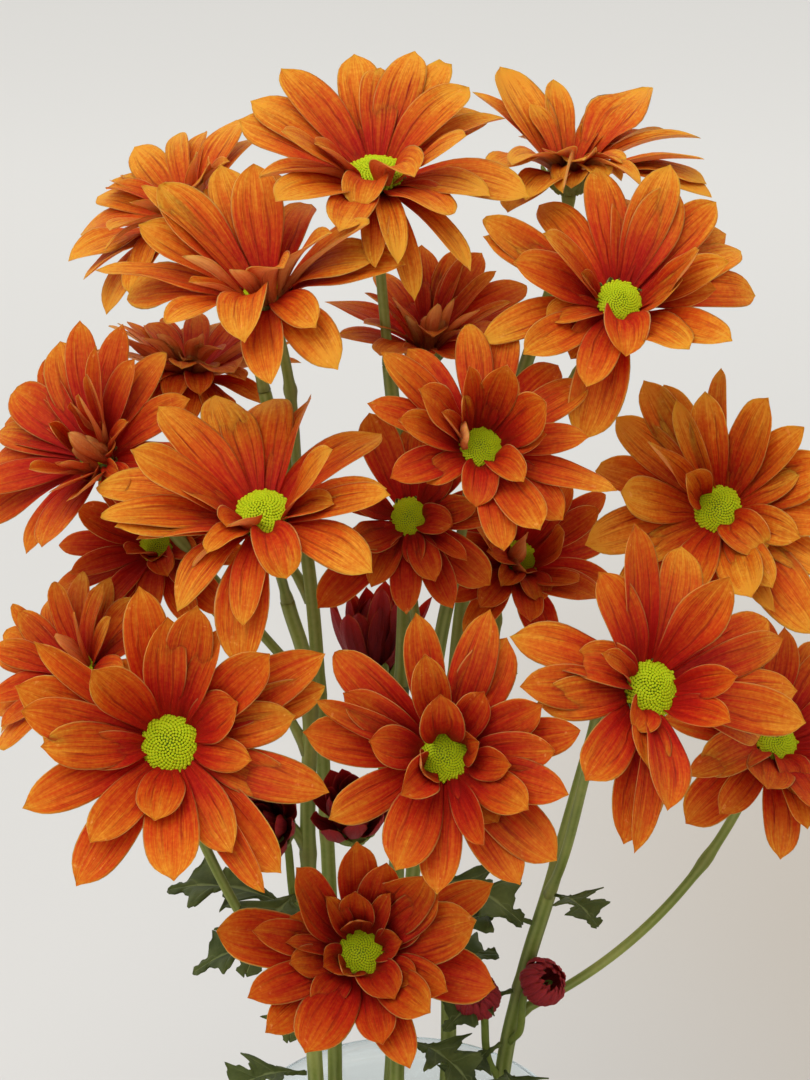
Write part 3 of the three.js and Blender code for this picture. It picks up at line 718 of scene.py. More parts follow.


# %% [markdown]
# ## Open flowers
# Each flower has four whorls. The outer petals are the longest and lie nearly flat, the
# next ones stand a little steeper, and the short ones inside are cupped like spoons and
# curl over the green centre. Where the photo shows a petal, the place of its tip was
# read off the photo, or given in millimetres where other flowers hide it or a reading
# did not look right. A petal's length is known from its whorl, so the tip's depth
# follows from it. The sides that the photo hides are filled with evenly spaced petals.

# %% Tips read off the photo
# For each flower, the left and top edge of the part of the photo that was enlarged, how many
# times it was enlarged, and the tips that were read in it, in the enlarged part's own
# pixels, as whorls from outside to inside. A word says what is special. With an edge of 0, 0
# and an enlargement of 1 the tips are in the photo's pixels.
READINGS = {
    "top": ((220, 40), 4.9, [
        [(335, 150), (640, 88), (935, 58), (1095, 95), (1290, 360), (1410, 405, "thin"),
         (1500, 745, "wide"), (165, 300), (90, 415, "wide"), (290, 790, "wide"), (560, 930)],
        [(785, 150), (1180, 222), (1195, 485), (1300, 770), (1112, 865, "wide"), (420, 265), (310, 435),
         (215, 690, "edge")],
        [(460, 495), (940, 665, "spoon"), (690, 830, "spoon")],
        []]),
    "upper_right": ((480, 150), 5.228, [
        [(640, 105), (970, 80), (1217, 277), (1258, 430), (1378, 560), (1445, 771), (1310, 979),
         (560, 1505, "wide"), (45, 453), (23, 378), (287, 290), (230, 1060), (0, 935)],
        [(765, 265), (1028, 218, "wide"), (1140, 545), (1288, 603), (1095, 1035), (550, 1225),
         (185, 605, "wide"), (345, 458)],
        [(1225, 720), (1058, 690, "wide"), (740, 1075, "spoon"), (487, 1095), (355, 895)],
        [(523, 647, "thin")]]),
    "upper_left": ((70, 120), 4.7515, [
        [(350, 320, "thin"), (640, 330), (740, 225), (1130, 405), (1410, 495, "edge"),
         (1580, 690, "wide"), (1270, 1165, "wide"), (945, 1240), (260, 850, "wide"), (145, 700)],
        [(425, 315, "wide"), (345, 500, "wide"), (890, 220, "wide"), (1245, 535, "edge"),
         (1462, 645, "wide"), (1170, 975), (430, 940), (825, 1055, "spoon")],
        [(545, 655, "edge"), (590, 770, "edge"), (985, 710, "spoon"), (790, 710, "thin")],
        []]),
    "left_centre": ((90, 380), 5.058, [
        [(365, 150), (60, 495), (660, 75, "wide"), (900, 98, "wide"), (1155, 97, "edge"),
         (1420, 250, "wide"), (1480, 605), (1435, 925, "wide"), (770, 1437), (70, 680), (135, 738)],
        [(220, 345, "wide"), (745, 150), (1492, 545, "thin"), (1215, 380), (790, 1228), (430, 1150),
         (252, 805)],
        [(1235, 610), (1000, 1020, "spoon"), (535, 950, "edge"), (582, 870), (450, 548)],
        [(695, 742, "spoon")]]),
    "centre": ((350, 320), 5.807, [
        [(695, 35), (925, 38), (345, 170), (1165, 240), (1365, 360), (1520, 1005), (905, 1328),
         (125, 460), (1100, 1200), (190, 210)],
        [(1380, 700), (1255, 1120, "wide"), (238, 915), (292, 600), (425, 395), (915, 280),
         (715, 275, "thin"), (1115, 460, "wide")],
        [(800, 345, "wide"), (975, 375, "thin"), (1130, 700), (1015, 940, "spoon"), (740, 1088, "spoon"),
         (440, 935), (660, 435, "thin"), (537, 545, "thin")],
        [(685, 635), (895, 850)]]),
    "right": ((590, 360), 5.6, [
        [(320, 130), (430, 135), (710, 60, "thin"), (1000, 225, "wide"), (1150, 345), (1330, 560, "wide"),
         (1400, 880, "wide"), (1350, 1180), (1300, 1500, "wide"), (900, 1330, "wide"),
         (1010, 1410, "thin"), (50, 580), (160, 330), (-20, 1000, "wide")],
        [(175, 755, "wide"), (330, 465, "edge"), (500, 230, "thin"), (650, 195)],
        [(540, 650, "spoon"), (975, 1070, "spoon")],
        []]),
    "far_left": ((0, 310), 5.807, [
        [(480, 80), (365, 190, "wide"), (250, 305), (70, 480, "wide"), (30, 670), (-10, 740), (-30, 870),
         (-10, 1070), (35, 1105), (240, 1355, "wide"), (430, 1070)],
        [(505, 375, "thin"), (195, 545, "thin"), (770, 275), (605, 235, "thin"), (445, 490, "thin"),
         (155, 910, "thin"), (80, 770, "thin")],
        [],
        []]),
    "left_back": ((0, 310), 5.807, [
        [(725, 75), (650, 100, "thin"), (860, 100), (1380, 360, "wide"), (1440, 390)],
        [(915, 130, "thin"), (1160, 150, "thin"), (1025, 340)],
        [],
        []]),
    "back_left": ((70, 120), 4.7515, [
        [(320, 125), (530, 60, "thin"), (640, 55, "thin"), (790, 10), (855, 100), (265, 255, "thin"),
         (130, 380), (60, 540, "wide"), (20, 665, "wide"), (55, 745), (165, 905, "wide")],
        [(430, 200), (190, 310, "thin")],
        [],
        []]),
    "top_right": ((0, 0), 1, [
        [(500, 71, "wide"), (476, 91, "thin"), (541, 96, "thin"), (627, 95, "wide"), (695, 137, "thin"),
         (705, 182, "wide"), (711, 196)],
        [(642, 182, "thin")],
        [(535, 106, "far"), (623, 165, "edge")],
        []]),
    "middle_back": ((0, 0), 1, [
        [(455, 251), (484, 253)],
        [(367, 295, "thin"), (398, 301, "thin"), (479, 270, "thin")],
        [(435, 305, "thin")],
        []]),
    "far_left_low": ((0, 560), 7.84, [
        [(410, 290), (75, 390, "thin"), (35, 580), (-10, 760, "wide"), (-10, 1170), (0, 1340, "thin"),
         (0, 1500, "wide")],
        [(600, 420), (870, 460)],
        [(430, 600)],
        []]),
    "front_left": ((0, 560), 4.612, [
        [(605, 150), (900, 218), (1225, 430), (1475, 438), (1478, 580), (1490, 1118), (1280, 1420),
         (1215, 1530, "thin"), (785, 1465, "wide"), (365, 1490), (105, 1098), (100, 720), (90, 600),
         (155, 402, "thin")],
        [(700, 280), (1030, 340, "thin"), (1345, 700), (1360, 1030), (1080, 1322), (453, 1312),
         (205, 870), (455, 495)],
        [(1150, 930), (1095, 680, "wide"), (720, 1200, "wide"), (335, 905)],
        []]),
    "front_centre": ((300, 600), 5.2276, [
        [(575, 95), (1000, 65), (1460, 680), (1390, 1030), (1350, 1335, "wide"), (1145, 1480),
         (735, 1515), (470, 1375, "wide"), (175, 1140), (20, 720), (105, 520, "thin"), (195, 285)],
        [(640, 300), (1065, 210, "wide"), (1250, 540), (1310, 740), (1175, 1080), (950, 1275, "thin"),
         (225, 505)],
        [(730, 505, "spoon"), (980, 500), (1090, 890), (1015, 1155, "wide"), (520, 990, "spoon"),
         (365, 760, "wide")],
        [(940, 740, "spoon"), (640, 890, "spoon")]]),
    "front_right": ((500, 500), 4.239, [
        [(575, 128), (785, 205), (1120, 505), (1200, 613), (1252, 820), (1285, 920), (1110, 1000),
         (550, 1440, "wide"), (578, 1490, "thin"), (385, 1200), (95, 810), (70, 547)],
        [(420, 319), (963, 335, "wide"), (730, 1312), (170, 880)],
        [(1005, 740), (960, 937), (612, 1117, "wide"), (323, 648, "spoon"), (445, 638, "thin")],
        [(568, 970, "spoon")]]),
    "far_right": ((640, 680), 6.535, [
        [(310, 920, "wide"), (590, 910), (905, 1140), (1180, 850), (330, 610)],
        [(410, 590, "spoon"), (830, 700, "wide")],
        [(1040, 740, "spoon")],
        []]),
    "bottom": ((200, 830), 5.2267, [
        [(825, 70), (1130, 230, "wide"), (1525, 285), (1425, 500, "wide"), (1535, 780, "wide"),
         (1180, 965), (1075, 1240), (555, 1145, "wide"), (350, 1040), (260, 885), (90, 550, "wide"),
         (480, 240)],
        [(965, 175), (1250, 350), (1280, 830), (950, 1110), (285, 525), (470, 350)],
        [(820, 325), (1000, 350, "thin"), (1155, 430, "wide"), (670, 340, "thin"), (490, 460, "wide"),
         (590, 915), (475, 700), (465, 575, "thin"), (1110, 790), (1010, 880, "spoon")],
        [(810, 480), (1050, 590, "spoon"), (760, 750, "spoon"), (650, 700, "spoon")]]),
}

# %% Tips placed in millimetres
# Whorls in millimetres right of and above the flower's middle, as the viewer sees them.
PLACED = {
    "top": [[(0, -22, "thin"), (6, -21, "thin"), (9, -30, "thin"), (22, -23, "thin")], [], [], []],
    "top_right": [
        [(21, 20, "wide"), (24, 8, "thin"), (33, 2, "wide"), (-19, -1), (-15, 1, "edge"),
         (-10, -8, "wide"), (-15, -11)],
        [(-3, -6, "edge"), (-4, 22, "far"), (12, 14, "far")],
        [(7, 11, "far"), (-2, 14, "far"), (12, 5, "far"), (-12, 8, "far"), (4, 2), (-5, 4), (9, -3),
         (1, -5), (14, -3, "thin")],
        []],
    "back_left": [
        [(-20, 8, "thin"), (24, 8), (25, -4), (18, -15), (-14, -20)],
        [(-20, -4), (2, 15, "thin"), (11, 14, "thin"), (-21, -9, "thin"), (-13, -16), (14, -6),
         (-14, 3, "thin"), (6, 13)],
        [(-4, 6, "thin"), (4, 8, "thin"), (-10, 2, "thin"), (-6, -8), (0, 10, "far"), (-8, 7, "far")],
        [(-2, 3, "thin"), (3, 1, "thin"), (-5, -2, "thin")]],
    "middle_back": [
        [(-26, 10, "wide"), (-23, 1, "wide"), (-12, -4, "wide"), (0, 24), (24, 15, "wide"),
         (27, 6, "thin"), (33, 6, "wide"), (-14, 17)],
        [(-17, 5), (-4, 20, "thin"), (18, 17, "thin"), (12, 7, "thin"), (18, 2), (9, -5), (-3, -6),
         (9, 20, "thin"), (21, 10, "thin")],
        [(-5, 6, "thin"), (10, 3, "thin"), (6, 10, "thin"), (1, 1, "spoon"), (-8, 9, "far"),
         (12, 12, "far")],
        [(0, 6, "thin"), (4, 5, "thin"), (-4, 3, "thin")]],
    "centre_low": [
        [(-22, -23, "wide"), (-1, -24), (20, -17, "wide"), (-10, 26, "wide"), (2, 24), (-15, -8),
         (14, 16), (24, 2, "wide"), (-22, 8), (12, -22)],
        [(-13, -7, "wide"), (14, -11, "thin"), (-10, -17), (6, -16), (-14, 6), (10, 14), (17, 3)],
        [(11, -2, "spoon"), (-9, -8, "wide"), (2, -12)], []],
    "middle_right": [
        [(24, 6, "wide"), (20, -10, "wide"), (-17, 4, "wide"), (-14, -20), (12, 18, "wide"), (-4, 22),
         (22, 18), (8, -24, "wide"), (-20, -10)],
        [(12, 7, "wide"), (15, -6), (-10, -12), (-12, 8), (4, -16)],
        [(-4, -7, "spoon"), (6, -11, "spoon"), (2, 6, "spoon"), (-8, 2, "spoon")], [(2, -3, "spoon")]],
    "left_low": [
        [], [],
        [(2, -8, "spoon"), (-8, -2, "spoon"), (6, 6), (10, -2, "spoon")],
        [(-2, -4, "spoon")]],
    "far_left": [
        [],
        [(-17, 8, "thin"), (-9, -8), (8, -8), (-10, 20, "thin")],
        [(-6, 13, "thin"), (-11, 8, "thin"), (-6, 6, "thin"), (3, 15, "far"), (8, 8, "thin"),
         (-9, -2, "thin"), (6, -5, "thin"), (-2, 12, "far")],
        [(-5, 2, "thin"), (2, 8, "thin"), (5, 3, "thin"), (-1, -6, "thin"), (-2, 5, "thin")]],
    "left_back": [
        [(2, 12, "wide"), (-17, -12, "wide"), (-10, -16, "wide"), (0, -15), (9, -13), (18, -8),
         (-22, -4), (-6, 14, "far"), (8, 13)],
        [(-13, 9, "thin"), (8, 6, "thin"), (-14, -3), (4, -6), (-6, -8)],
        [(-6, 7, "thin"), (3, 7, "thin"), (-2, 3, "thin"), (-9, 3, "thin"), (6, 1)],
        [(0, 4, "thin")]],
}
print(len(READINGS), "flowers with tips read off the photo,", len(PLACED), "with tips in millimetres")

# %% From a reading to millimetres
VIEW_RIGHT = np.array([1.0, 0.0, 0.0])
VIEW_UP = np.array([0.0, math.sin(math.radians(LOOKS_DOWN)), math.cos(math.radians(LOOKS_DOWN))])
VIEW_AHEAD = np.cross(VIEW_UP, VIEW_RIGHT)
VIEWER = np.array(EYE) / MM
PHOTO_WIDTH, PHOTO_HEIGHT = 810, 1080
FOCUS = LENS / camera_data.sensor_width * PHOTO_HEIGHT


def in_millimetres(name, tip):
    """A reading as whole millimetres right of and above the flower's middle. Its place in the
    photo is the part's edge + reading / enlargement. The flower's middle is seen FOCUS * its
    offset / distance from the photo's middle, and a pixel there is distance / FOCUS wide."""
    (left, top), enlarged, _ = READINGS[name]
    x, y, *words = tip
    offset = FLOWERS[name][0] - VIEWER
    pixel = offset @ VIEW_AHEAD / FOCUS
    right = (left + x / enlarged - PHOTO_WIDTH / 2) * pixel - offset @ VIEW_RIGHT
    above = (PHOTO_HEIGHT / 2 - top - y / enlarged) * pixel - offset @ VIEW_UP
    return (round(right), round(above), *words)


TIPS = {name: [[], [], [], []] for name in FLOWERS}
for name, rings in TIPS.items():
    for number, ring in enumerate(rings):
        if name in READINGS:
            ring.extend(in_millimetres(name, tip) for tip in READINGS[name][2][number])
        if name in PLACED:
            ring.extend(PLACED[name][number])
print(sum(len(ring) for rings in TIPS.values() for ring in rings), "petal tips placed by eye")

# %% From a tip to a petal
WHORLS = (
    # length and width as shares of the radius, slope at the foot, usual slope of the chord,
    # cup, distance and height of the foot, youth, petals in a full ring, widest gap in petals
    (1.04, 0.365, 36, 18, 0.18, 4.6, -2.0, 0.0, 13, 2.0),
    (0.90, 0.345, 50, 34, 0.22, 5.0, -1.2, 0.2, 10, 2.3),
    (0.64, 0.29, 64, 50, 0.32, 5.4, -0.4, 0.5, 7, 9.0),
    (0.42, 0.25, 78, 76, 0.45, 5.8, 0.2, 0.8, 5, 9.0),
)
# width factor, share of the turn that brings it edge-on to the viewer, extra cup, steeper foot
KINDS = {"plain": (1.0, 0.0, 0.0, 0), "wide": (1.25, 0.0, -0.03, 0), "thin": (0.64, 0.25, 0.25, 4),
         "edge": (0.8, 0.85, 0.25, 6), "spoon": (1.2, 0.0, 0.2, 28), "far": (0.72, 0.0, 0.15, 0)}
FULL_RADIUS = 36
# The slope turns as along^BEND, so a chord's slope is 1 / (1 + BEND) of the way to the end's.
CHORD_SHARE = 0.4545
INNER = 2
LEAST_REACH = 1.04
EDGE_PUSH, MOST_TWIST = 1.3, 95
SHARE_AT_FOOT = 0.55
RISE_LIMITS, TURN_LIMITS = (-10, 100), (-125, 95)
SEEN_RISE_SPREAD, SEEN_WIDTH_SPREAD, SEEN_TWIST, SEEN_TWIST_SPREAD = 4, 0.06, 4, 9
FILLER_LENGTH, FILLER_START, FILLER_TURN = 0.92, 30, 15
# How much a flower's far petals stand up, in degrees, and how much more in one that faces up.
STAND, UPRIGHT_STAND, UPRIGHT_FROM = 6, 16, 0.4
# Part of these flowers is hidden or outside the photo, and filled with evenly spaced petals.
PARTLY_SEEN = ("far_left", "far_left_low", "right", "far_right", "middle_right", "left_low", "left_back")


def even(count, start=0.0):
    """Angles of count petals spread evenly round the flower."""
    return start + np.arange(count) * 360 / count


def tip_places(tips, far, length, at, axes, usual, foot, height):
    """Tips in the flower's own directions. The line of sight through a tip passes the
    flower's middle at a distance of miss. It meets the ball of radius length round that
    middle sqrt(length^2 - miss^2) before and behind its nearest point, and the one of the
    two whose slope is closer to the usual one is the tip, unless far asks for the second."""
    at = np.asarray(at, float)
    sight = unit(at + tips[:, :1] * VIEW_RIGHT + tips[:, 1:] * VIEW_UP - VIEWER)
    nearest = VIEWER + (sight @ (at - VIEWER))[:, None] * sight - at
    miss = np.linalg.norm(nearest, axis=1)
    reach = np.maximum(length, LEAST_REACH * miss)
    half = np.sqrt(reach ** 2 - miss ** 2)[:, None] * sight
    both = np.stack([nearest - half, nearest + half]) @ axes.T
    out = np.hypot(both[..., 0], both[..., 1]) - foot
    slope = np.degrees(np.arctan2(both[..., 2] - height, out))
    pick = np.where(far, 1, np.abs(slope - usual).argmin(0))
    rows = np.arange(len(tips))
    return both[pick, rows], slope[pick, rows]


def edge_on(angle, slope, at, axes):
    """The twist that turns a petal edge-on to the viewer, where the face's normal
    cos(twist) normal - sin(twist) side is square to the line of sight. A petal has its
    full twist only at its tip, so EDGE_PUSH makes it larger."""
    angle, slope = np.radians(angle), np.radians(slope)
    side = np.stack([-np.sin(angle), np.cos(angle), 0 * angle], -1)
    out = np.stack([np.cos(angle), np.sin(angle)], -1)
    normal = np.hstack([-np.sin(slope)[:, None] * out, np.cos(slope)[:, None]])
    viewer = axes @ unit(VIEWER - at)
    twist = np.degrees(np.arctan((normal @ viewer) / (side @ viewer)))
    return np.clip(twist * EDGE_PUSH, -MOST_TWIST, MOST_TWIST)


def seen_whorl(rng, tips, numbers, radius, at, axes):
    """Petals whose tips lie where the photo shows them. The slope at the end is the one
    that brings the midrib, whose mean slope is the chord's, to the tip. An arc that turns
    by an angle is 1 + angle^2 / 24 times as long as its chord."""
    length, width, rise, usual, cup, foot, height, youth, _, _ = numbers
    foot = foot * radius / FULL_RADIUS
    kinds = np.array([KINDS[tip[2] if len(tip) > 2 else "plain"] for tip in tips])
    far = np.array([tip[-1] == "far" for tip in tips])
    places, chord_slope = tip_places(np.array([tip[:2] for tip in tips], float), far, length * radius,
                                     at, axes, usual, foot, height)
    angle = np.degrees(np.arctan2(places[:, 1], places[:, 0]))
    ring = whorl(rng, angle, length * radius, width * radius, rise, rise, cup, foot, height, youth)
    ring["angle"] = angle
    lean = SHARE_AT_FOOT * (chord_slope - usual) + kinds[:, 3]
    ring["rise"] = np.clip(rise + lean + rng.normal(0, SEEN_RISE_SPREAD, len(tips)), *RISE_LIMITS)
    ring["ends"] = ring["rise"] + np.clip((chord_slope - ring["rise"]) / CHORD_SHARE, *TURN_LIMITS)
    chord = np.hypot(np.hypot(places[:, 0], places[:, 1]) - foot, places[:, 2] - height)
    ring["length"] = chord * (1 + np.radians(ring["ends"] - ring["rise"]) ** 2 / 24)
    ring["width"] = width * radius * kinds[:, 0] * (1 + rng.normal(0, SEEN_WIDTH_SPREAD, len(tips)))
    ring["twist"] = kinds[:, 1] * edge_on(angle, chord_slope, at, axes)
    ring["twist"] += rng.normal(SEEN_TWIST, SEEN_TWIST_SPREAD, len(tips))
    ring["cup"] += kinds[:, 2]
    return ring


def gaps_filled(angles, count, widest, start):
    """Angles that fill each gap wider than widest petals between the ones already there."""
    if len(angles) == 0:
        return even(count, start)
    there = np.sort(np.asarray(angles) % 360)
    gaps = np.diff(np.append(there, there[0] + 360))
    extra = np.where(gaps > widest * 360 / count, np.round(gaps * count / 360).astype(int) - 1, 0)
    return np.concatenate([first + gap * np.arange(1, more + 1) / (more + 1)
                           for first, gap, more in zip(there, gaps, extra)])


# %% Petals of every open flower
def open_flower(name, seed):
    """All four whorls of a flower: petals seen in the photo, then the hidden ones."""
    at, faces, radius, *_ = FLOWERS[name]
    rng = np.random.default_rng(seed)
    axes = flower_frame(faces)
    stand = STAND + UPRIGHT_STAND * max(0.0, unit(faces)[2] - UPRIGHT_FROM)
    rings = []
    for number, (numbers, tips) in enumerate(zip(WHORLS, TIPS[name])):
        length, width, rise, usual, cup, foot, height, youth, count, widest = numbers
        angles = []
        if tips:
            rings.append(seen_whorl(rng, tips, numbers, radius, at, axes))
            angles = rings[-1]["angle"]
        if name in PARTLY_SEEN and (tips or number < INNER):
            angles = gaps_filled(angles, count, widest, rng.random() * FILLER_START + FILLER_TURN * number)
            ends = rise + (usual - rise) / CHORD_SHARE
            rings.append(whorl(rng, angles, FILLER_LENGTH * length * radius, width * radius, rise, ends,
                               cup, foot * radius / FULL_RADIUS, height, youth,
                               stand * (1 - number / len(WHORLS))))
    petals = gather(rings)
    make_piece(f"{name}_bloom", *petal_mesh(petals, at, faces), PETAL, "petal", [f"{name}_petals"],
               petal_values(petals, RIPE_AND_SHADE.get(name, 0.0)), levels=1)
    return len(petals["angle"])


total = sum(open_flower(name, seed) for seed, name in enumerate(FLOWERS, 1))
print(total, "petals on", len(FLOWERS), "open flowers")

# %% [markdown]
# ## Green centres
# The centre of a chrysanthemum is a dome of tiny unopened florets. They sit on a Vogel
# spiral: floret number i is at the golden angle times i, at a distance that grows as the
# square root of i, which packs them evenly. Each floret is a little barrel with a dimple.

# %% Disc florets
DISC_RADIUS, DISC_RISE, DISC_EDGE = 7.0, 3.2, 0.4
FLORETS = 280
FLORET_SIZE, FLORET_HEIGHT, FLORET_SINK = 0.45, 1.25, 0.5
BED_DEPTH, BED_TURNS = 0.6, 24
# Share of their full size for the discs that the petals hide in the photo.
SHY_DISCS = {"top_right": 0.6, "far_left": 0.6, "back_left": 0.6, "left_back": 0.6, "upper_left": 0.75,
             "middle_back": 0.7, "upper_right": 0.85, "centre": 0.9, "front_centre": 0.9, "bottom": 0.9}
GOLDEN_ANGLE = math.pi * (3 - math.sqrt(5))
FLORET_SIDES = 6
FLORET_PROFILE = np.array([(0.90, -0.8), (1.0, 0.2), (0.84, 0.7), (0.35, 0.88), (0.02, 0.6)])
# How light each ring of a floret is painted: dark at its foot and in its dimple as painted shade, bright on
# its head.
FLORET_HEAD_SHADE = np.array([0, 0.25, 0.85, 1.0, 0.35])


def dome(distance):
    """Height of the disc at a distance from its middle: a parabola from DISC_RISE to the edge."""
    return DISC_RISE + (DISC_EDGE - DISC_RISE) * (distance / DISC_RADIUS) ** 2


def disc(rng):
    """The florets and the bed they stand on, with how much painted shade each point of a floret
    gets. Away from the middle florets are up to half as wide again, and the last ones up to twice as tall."""
    number = np.arange(FLORETS)
    share = np.sqrt((number + 0.5) / FLORETS)
    distance, angle = DISC_RADIUS * 0.95 * share, number * GOLDEN_ANGLE
    size = FLORET_SIZE * (0.8 + 0.4 * share) * (1 + rng.normal(0, 0.06, FLORETS))
    tall = 1.0 + 1.1 * share ** 6 * rng.random(FLORETS)
    centre = np.stack([distance * np.cos(angle), distance * np.sin(angle), dome(distance) - FLORET_SINK], -1)
    slope = 2 * (DISC_RISE - DISC_EDGE) * distance / DISC_RADIUS ** 2
    up = unit(np.stack([slope * np.cos(angle), slope * np.sin(angle), np.ones(FLORETS)], -1))
    across = unit(np.cross(up, (0.0, 1.0, 0.0)))
    over = np.cross(up, across)
    turn = circle(FLORET_SIDES)
    radius = size[:, None, None, None] * FLORET_PROFILE[None, :, 0, None, None]
    ring = (np.cos(turn)[None, None, :, None] * across[:, None, None]
            + np.sin(turn)[None, None, :, None] * over[:, None, None])
    height = (size * tall)[:, None, None, None] * FLORET_HEIGHT * FLORET_PROFILE[None, :, 1, None, None]
    points = centre[:, None, None] + radius * ring + height * up[:, None, None]
    rows = len(FLORET_PROFILE)
    head = np.broadcast_to(FLORET_HEAD_SHADE[:, None], points.shape[:3])
    rim = np.broadcast_to(smooth(0.7, 1.0, share)[:, None, None], points.shape[:3])
    each = grid_faces(rows, FLORET_SIDES, closed=True)
    ends = [list(range(FLORET_SIDES))[::-1], list(range((rows - 1) * FLORET_SIDES, rows * FLORET_SIDES))]
    block = rows * FLORET_SIDES
    faces = [[corner + block * k for corner in face]
             for k in range(FLORETS) for face in [*each.tolist(), *ends]]
    edge = [(0, 0), (DISC_RADIUS * 0.9, 0), (DISC_RADIUS, DISC_EDGE)]
    top = [(r, dome(r)) for r in DISC_RADIUS * np.array([0.8, 0.6, 0.4, 0.2, 0])]
    bed_points, bed_faces = lathe(np.array(edge + top) - (0, BED_DEPTH), BED_TURNS)
    everything = join([(points.reshape(-1, 3), faces), (bed_points, bed_faces)])
    plain = np.zeros(len(bed_points))
    return (*everything, {"head": np.concatenate([head.ravel(), plain]),
                          "rim": np.concatenate([rim.ravel(), plain])})


for seed, (name, (at, faces, radius, *_)) in enumerate(FLOWERS.items(), 101):
    points, disc_faces, values = disc(np.random.default_rng(seed))
    points = points * radius / FULL_RADIUS * SHY_DISCS.get(name, 1.0)
    make_piece(f"{name}_disc", put(points, at, faces), disc_faces, FLORET, "stem", [f"{name}_stalk"], values)
print(FLORETS, "florets in each green centre")

# %% [markdown]
# ## Stalks and calyxes
# Behind the petals a green cup, the calyx, holds them together, covered in two rows of
# small pointed scales. It narrows into the stalk, which is ribbed lengthwise. The scales
# are shaped like petals, so the petal function makes them too, short and steep.

# %% Stalks
CALYX_RADIUS, WAIST_RADIUS, WAIST_HEIGHT = 6.3, 5.0, 2.2
CALYX_TURNS = 28
SCALES, SCALE_TURN, SCALE_WIDTH, SCALE_RISE = 14, 13, 2.9, 62
# For each row of scales: length, slope at the end, distance and height of the foot.
SCALE_ROWS = ((6.0, 80, 3.2, -6.8), (6.5, 66, 4.6, -5.6))
STALK_SIDES, STALK_RIDGES, STALK_RIDGE_HEIGHT = 20, 5, 0.07
STALK_JOINT, STALK_JOINT_LENGTH = 0.62, 0.035


def rod_values(count, sides, rings, ridges, joints):
    """How far up a ridge and how near a joint each point of a swept rod is."""
    angle = circle(sides)
    ridge = np.broadcast_to(0.5 + 0.5 * np.cos(ridges * angle), (rings, sides)).ravel()
    joint = np.broadcast_to(np.asarray(joints)[:, None], (rings, sides)).ravel()
    extra = np.zeros(count - rings * sides)
    return {"ridge": np.concatenate([ridge, extra]), "joint": np.concatenate([joint, extra])}


def stalk(name, at, faces, path, size):
    """A ribbed stalk, the calyx and its scales. The radius is STALK_RADIUS * (0.92 + 0.4 under
    the head + 0.3 at the fork + 0.35 at the joint). size is how wide the calyx is beside a
    full one."""
    share = np.linspace(0, 1, len(path))
    joint = np.exp(-((share - STALK_JOINT) / STALK_JOINT_LENGTH) ** 2)
    swell = 0.4 * smooth(0.86, 1, share) + 0.3 * smooth(0.08, 0, share) + 0.35 * joint
    widen = np.array([size, size, 1.0])
    rod_points, rod_faces = sweep(path, STALK_RADIUS * (0.92 + swell), STALK_SIDES, STALK_RIDGES,
                                  STALK_RIDGE_HEIGHT)
    rod = rod_values(len(rod_points), STALK_SIDES, len(path), STALK_RIDGES,
                     0.6 * smooth(0.05, 0, share) + 0.4 * joint)
    cup_points, cup_faces = lathe([
        (0, -CALYX_DEPTH - 0.4), (STALK_RADIUS * 1.3, -CALYX_DEPTH),
        (STALK_RADIUS * 2.4, -CALYX_DEPTH + 0.8),
        (CALYX_RADIUS * 0.85, -4.4), (CALYX_RADIUS, -3.0), (CALYX_RADIUS * 0.96, -WAIST_HEIGHT),
        (WAIST_RADIUS, -1.6), (WAIST_RADIUS, 0), (0, 0.2)], CALYX_TURNS)
    rng = np.random.default_rng(len(name))
    scales = gather([
        whorl(rng, even(SCALES, SCALE_TURN * row), length, SCALE_WIDTH, SCALE_RISE, ends, 0.5, foot,
              height, 0, loose=0.5)
        for row, (length, ends, foot, height) in enumerate(SCALE_ROWS)])
    scale_points = petal_points(scales).reshape(-1, 3)
    points, piece_faces = join([
        (rod_points, rod_faces), (put(cup_points * widen, at, faces), cup_faces),
        (put(scale_points * widen, at, faces), petal_faces(len(scales["angle"])))])
    ridge_of_scales = np.tile(1 - np.abs(ACROSS), len(scale_points) // len(ACROSS))
    blank = np.zeros(len(cup_points))
    values = {"ridge": np.concatenate([rod["ridge"], blank, ridge_of_scales]),
              "joint": np.concatenate([rod["joint"], blank, np.zeros(len(scale_points))])}
    make_piece(f"{name}_green", points, piece_faces, STEM, "stem", [f"{name}_stalk"], values)


for name, (at, faces, radius, stem, fork) in FLOWERS.items():
    path = stalk_path(at, faces, stem, fork, CALYX_DEPTH, STALK_RADIUS, BOWS.get(name, (0, 0, 0)))
    stalk(name, at, faces, path, radius / FULL_RADIUS)
print("stalks, calyxes and", len(SCALE_ROWS) * SCALES, "scales on each")

# %% [markdown]
# ## Main stems
# A cut chrysanthemum stem is ribbed, thickens a little at each joint where a leaf was
# taken off, and ends in a slanted cut. A ribbed section carried along the stem's curve,
# with a radius that swells at the joints, gives all of that.

# %% Main stems
STEM_JOINTS, STEM_JOINT_LENGTH, STEM_JOINT_SWELL = (52, 96, 141, 186, 228, 268, 318), 2.6, 0.16
STEM_STEPS, STEM_SIDES, STEM_RIDGES, STEM_RIDGE_HEIGHT = 90, 30, 6, 0.06
STEM_TAPER, TAPER_FROM, TAPER_TO = 0.82, 150, 360
for name, points in STEMS.items():
    path = curve_through(points, STEM_STEPS)
    heights = path[:, 2]
    near = np.exp(-(((heights[:, None] - np.array(STEM_JOINTS)) / STEM_JOINT_LENGTH) ** 2)).sum(1)
    taper = blend(1.0, STEM_TAPER, smooth(TAPER_FROM, TAPER_TO, heights))
    radii = STEM_RADIUS * taper * (1 + STEM_JOINT_SWELL * near)
    rod_points, rod_faces = sweep(path, radii, STEM_SIDES, STEM_RIDGES, STEM_RIDGE_HEIGHT, slant=1.0)
    values = rod_values(len(rod_points), STEM_SIDES, len(path), STEM_RIDGES, near * 0.7)
    make_piece(f"{name}_stem", rod_points, rod_faces, STEM, "stem", [f"stem_{name}"], values)
print(len(STEMS), "ribbed stems")
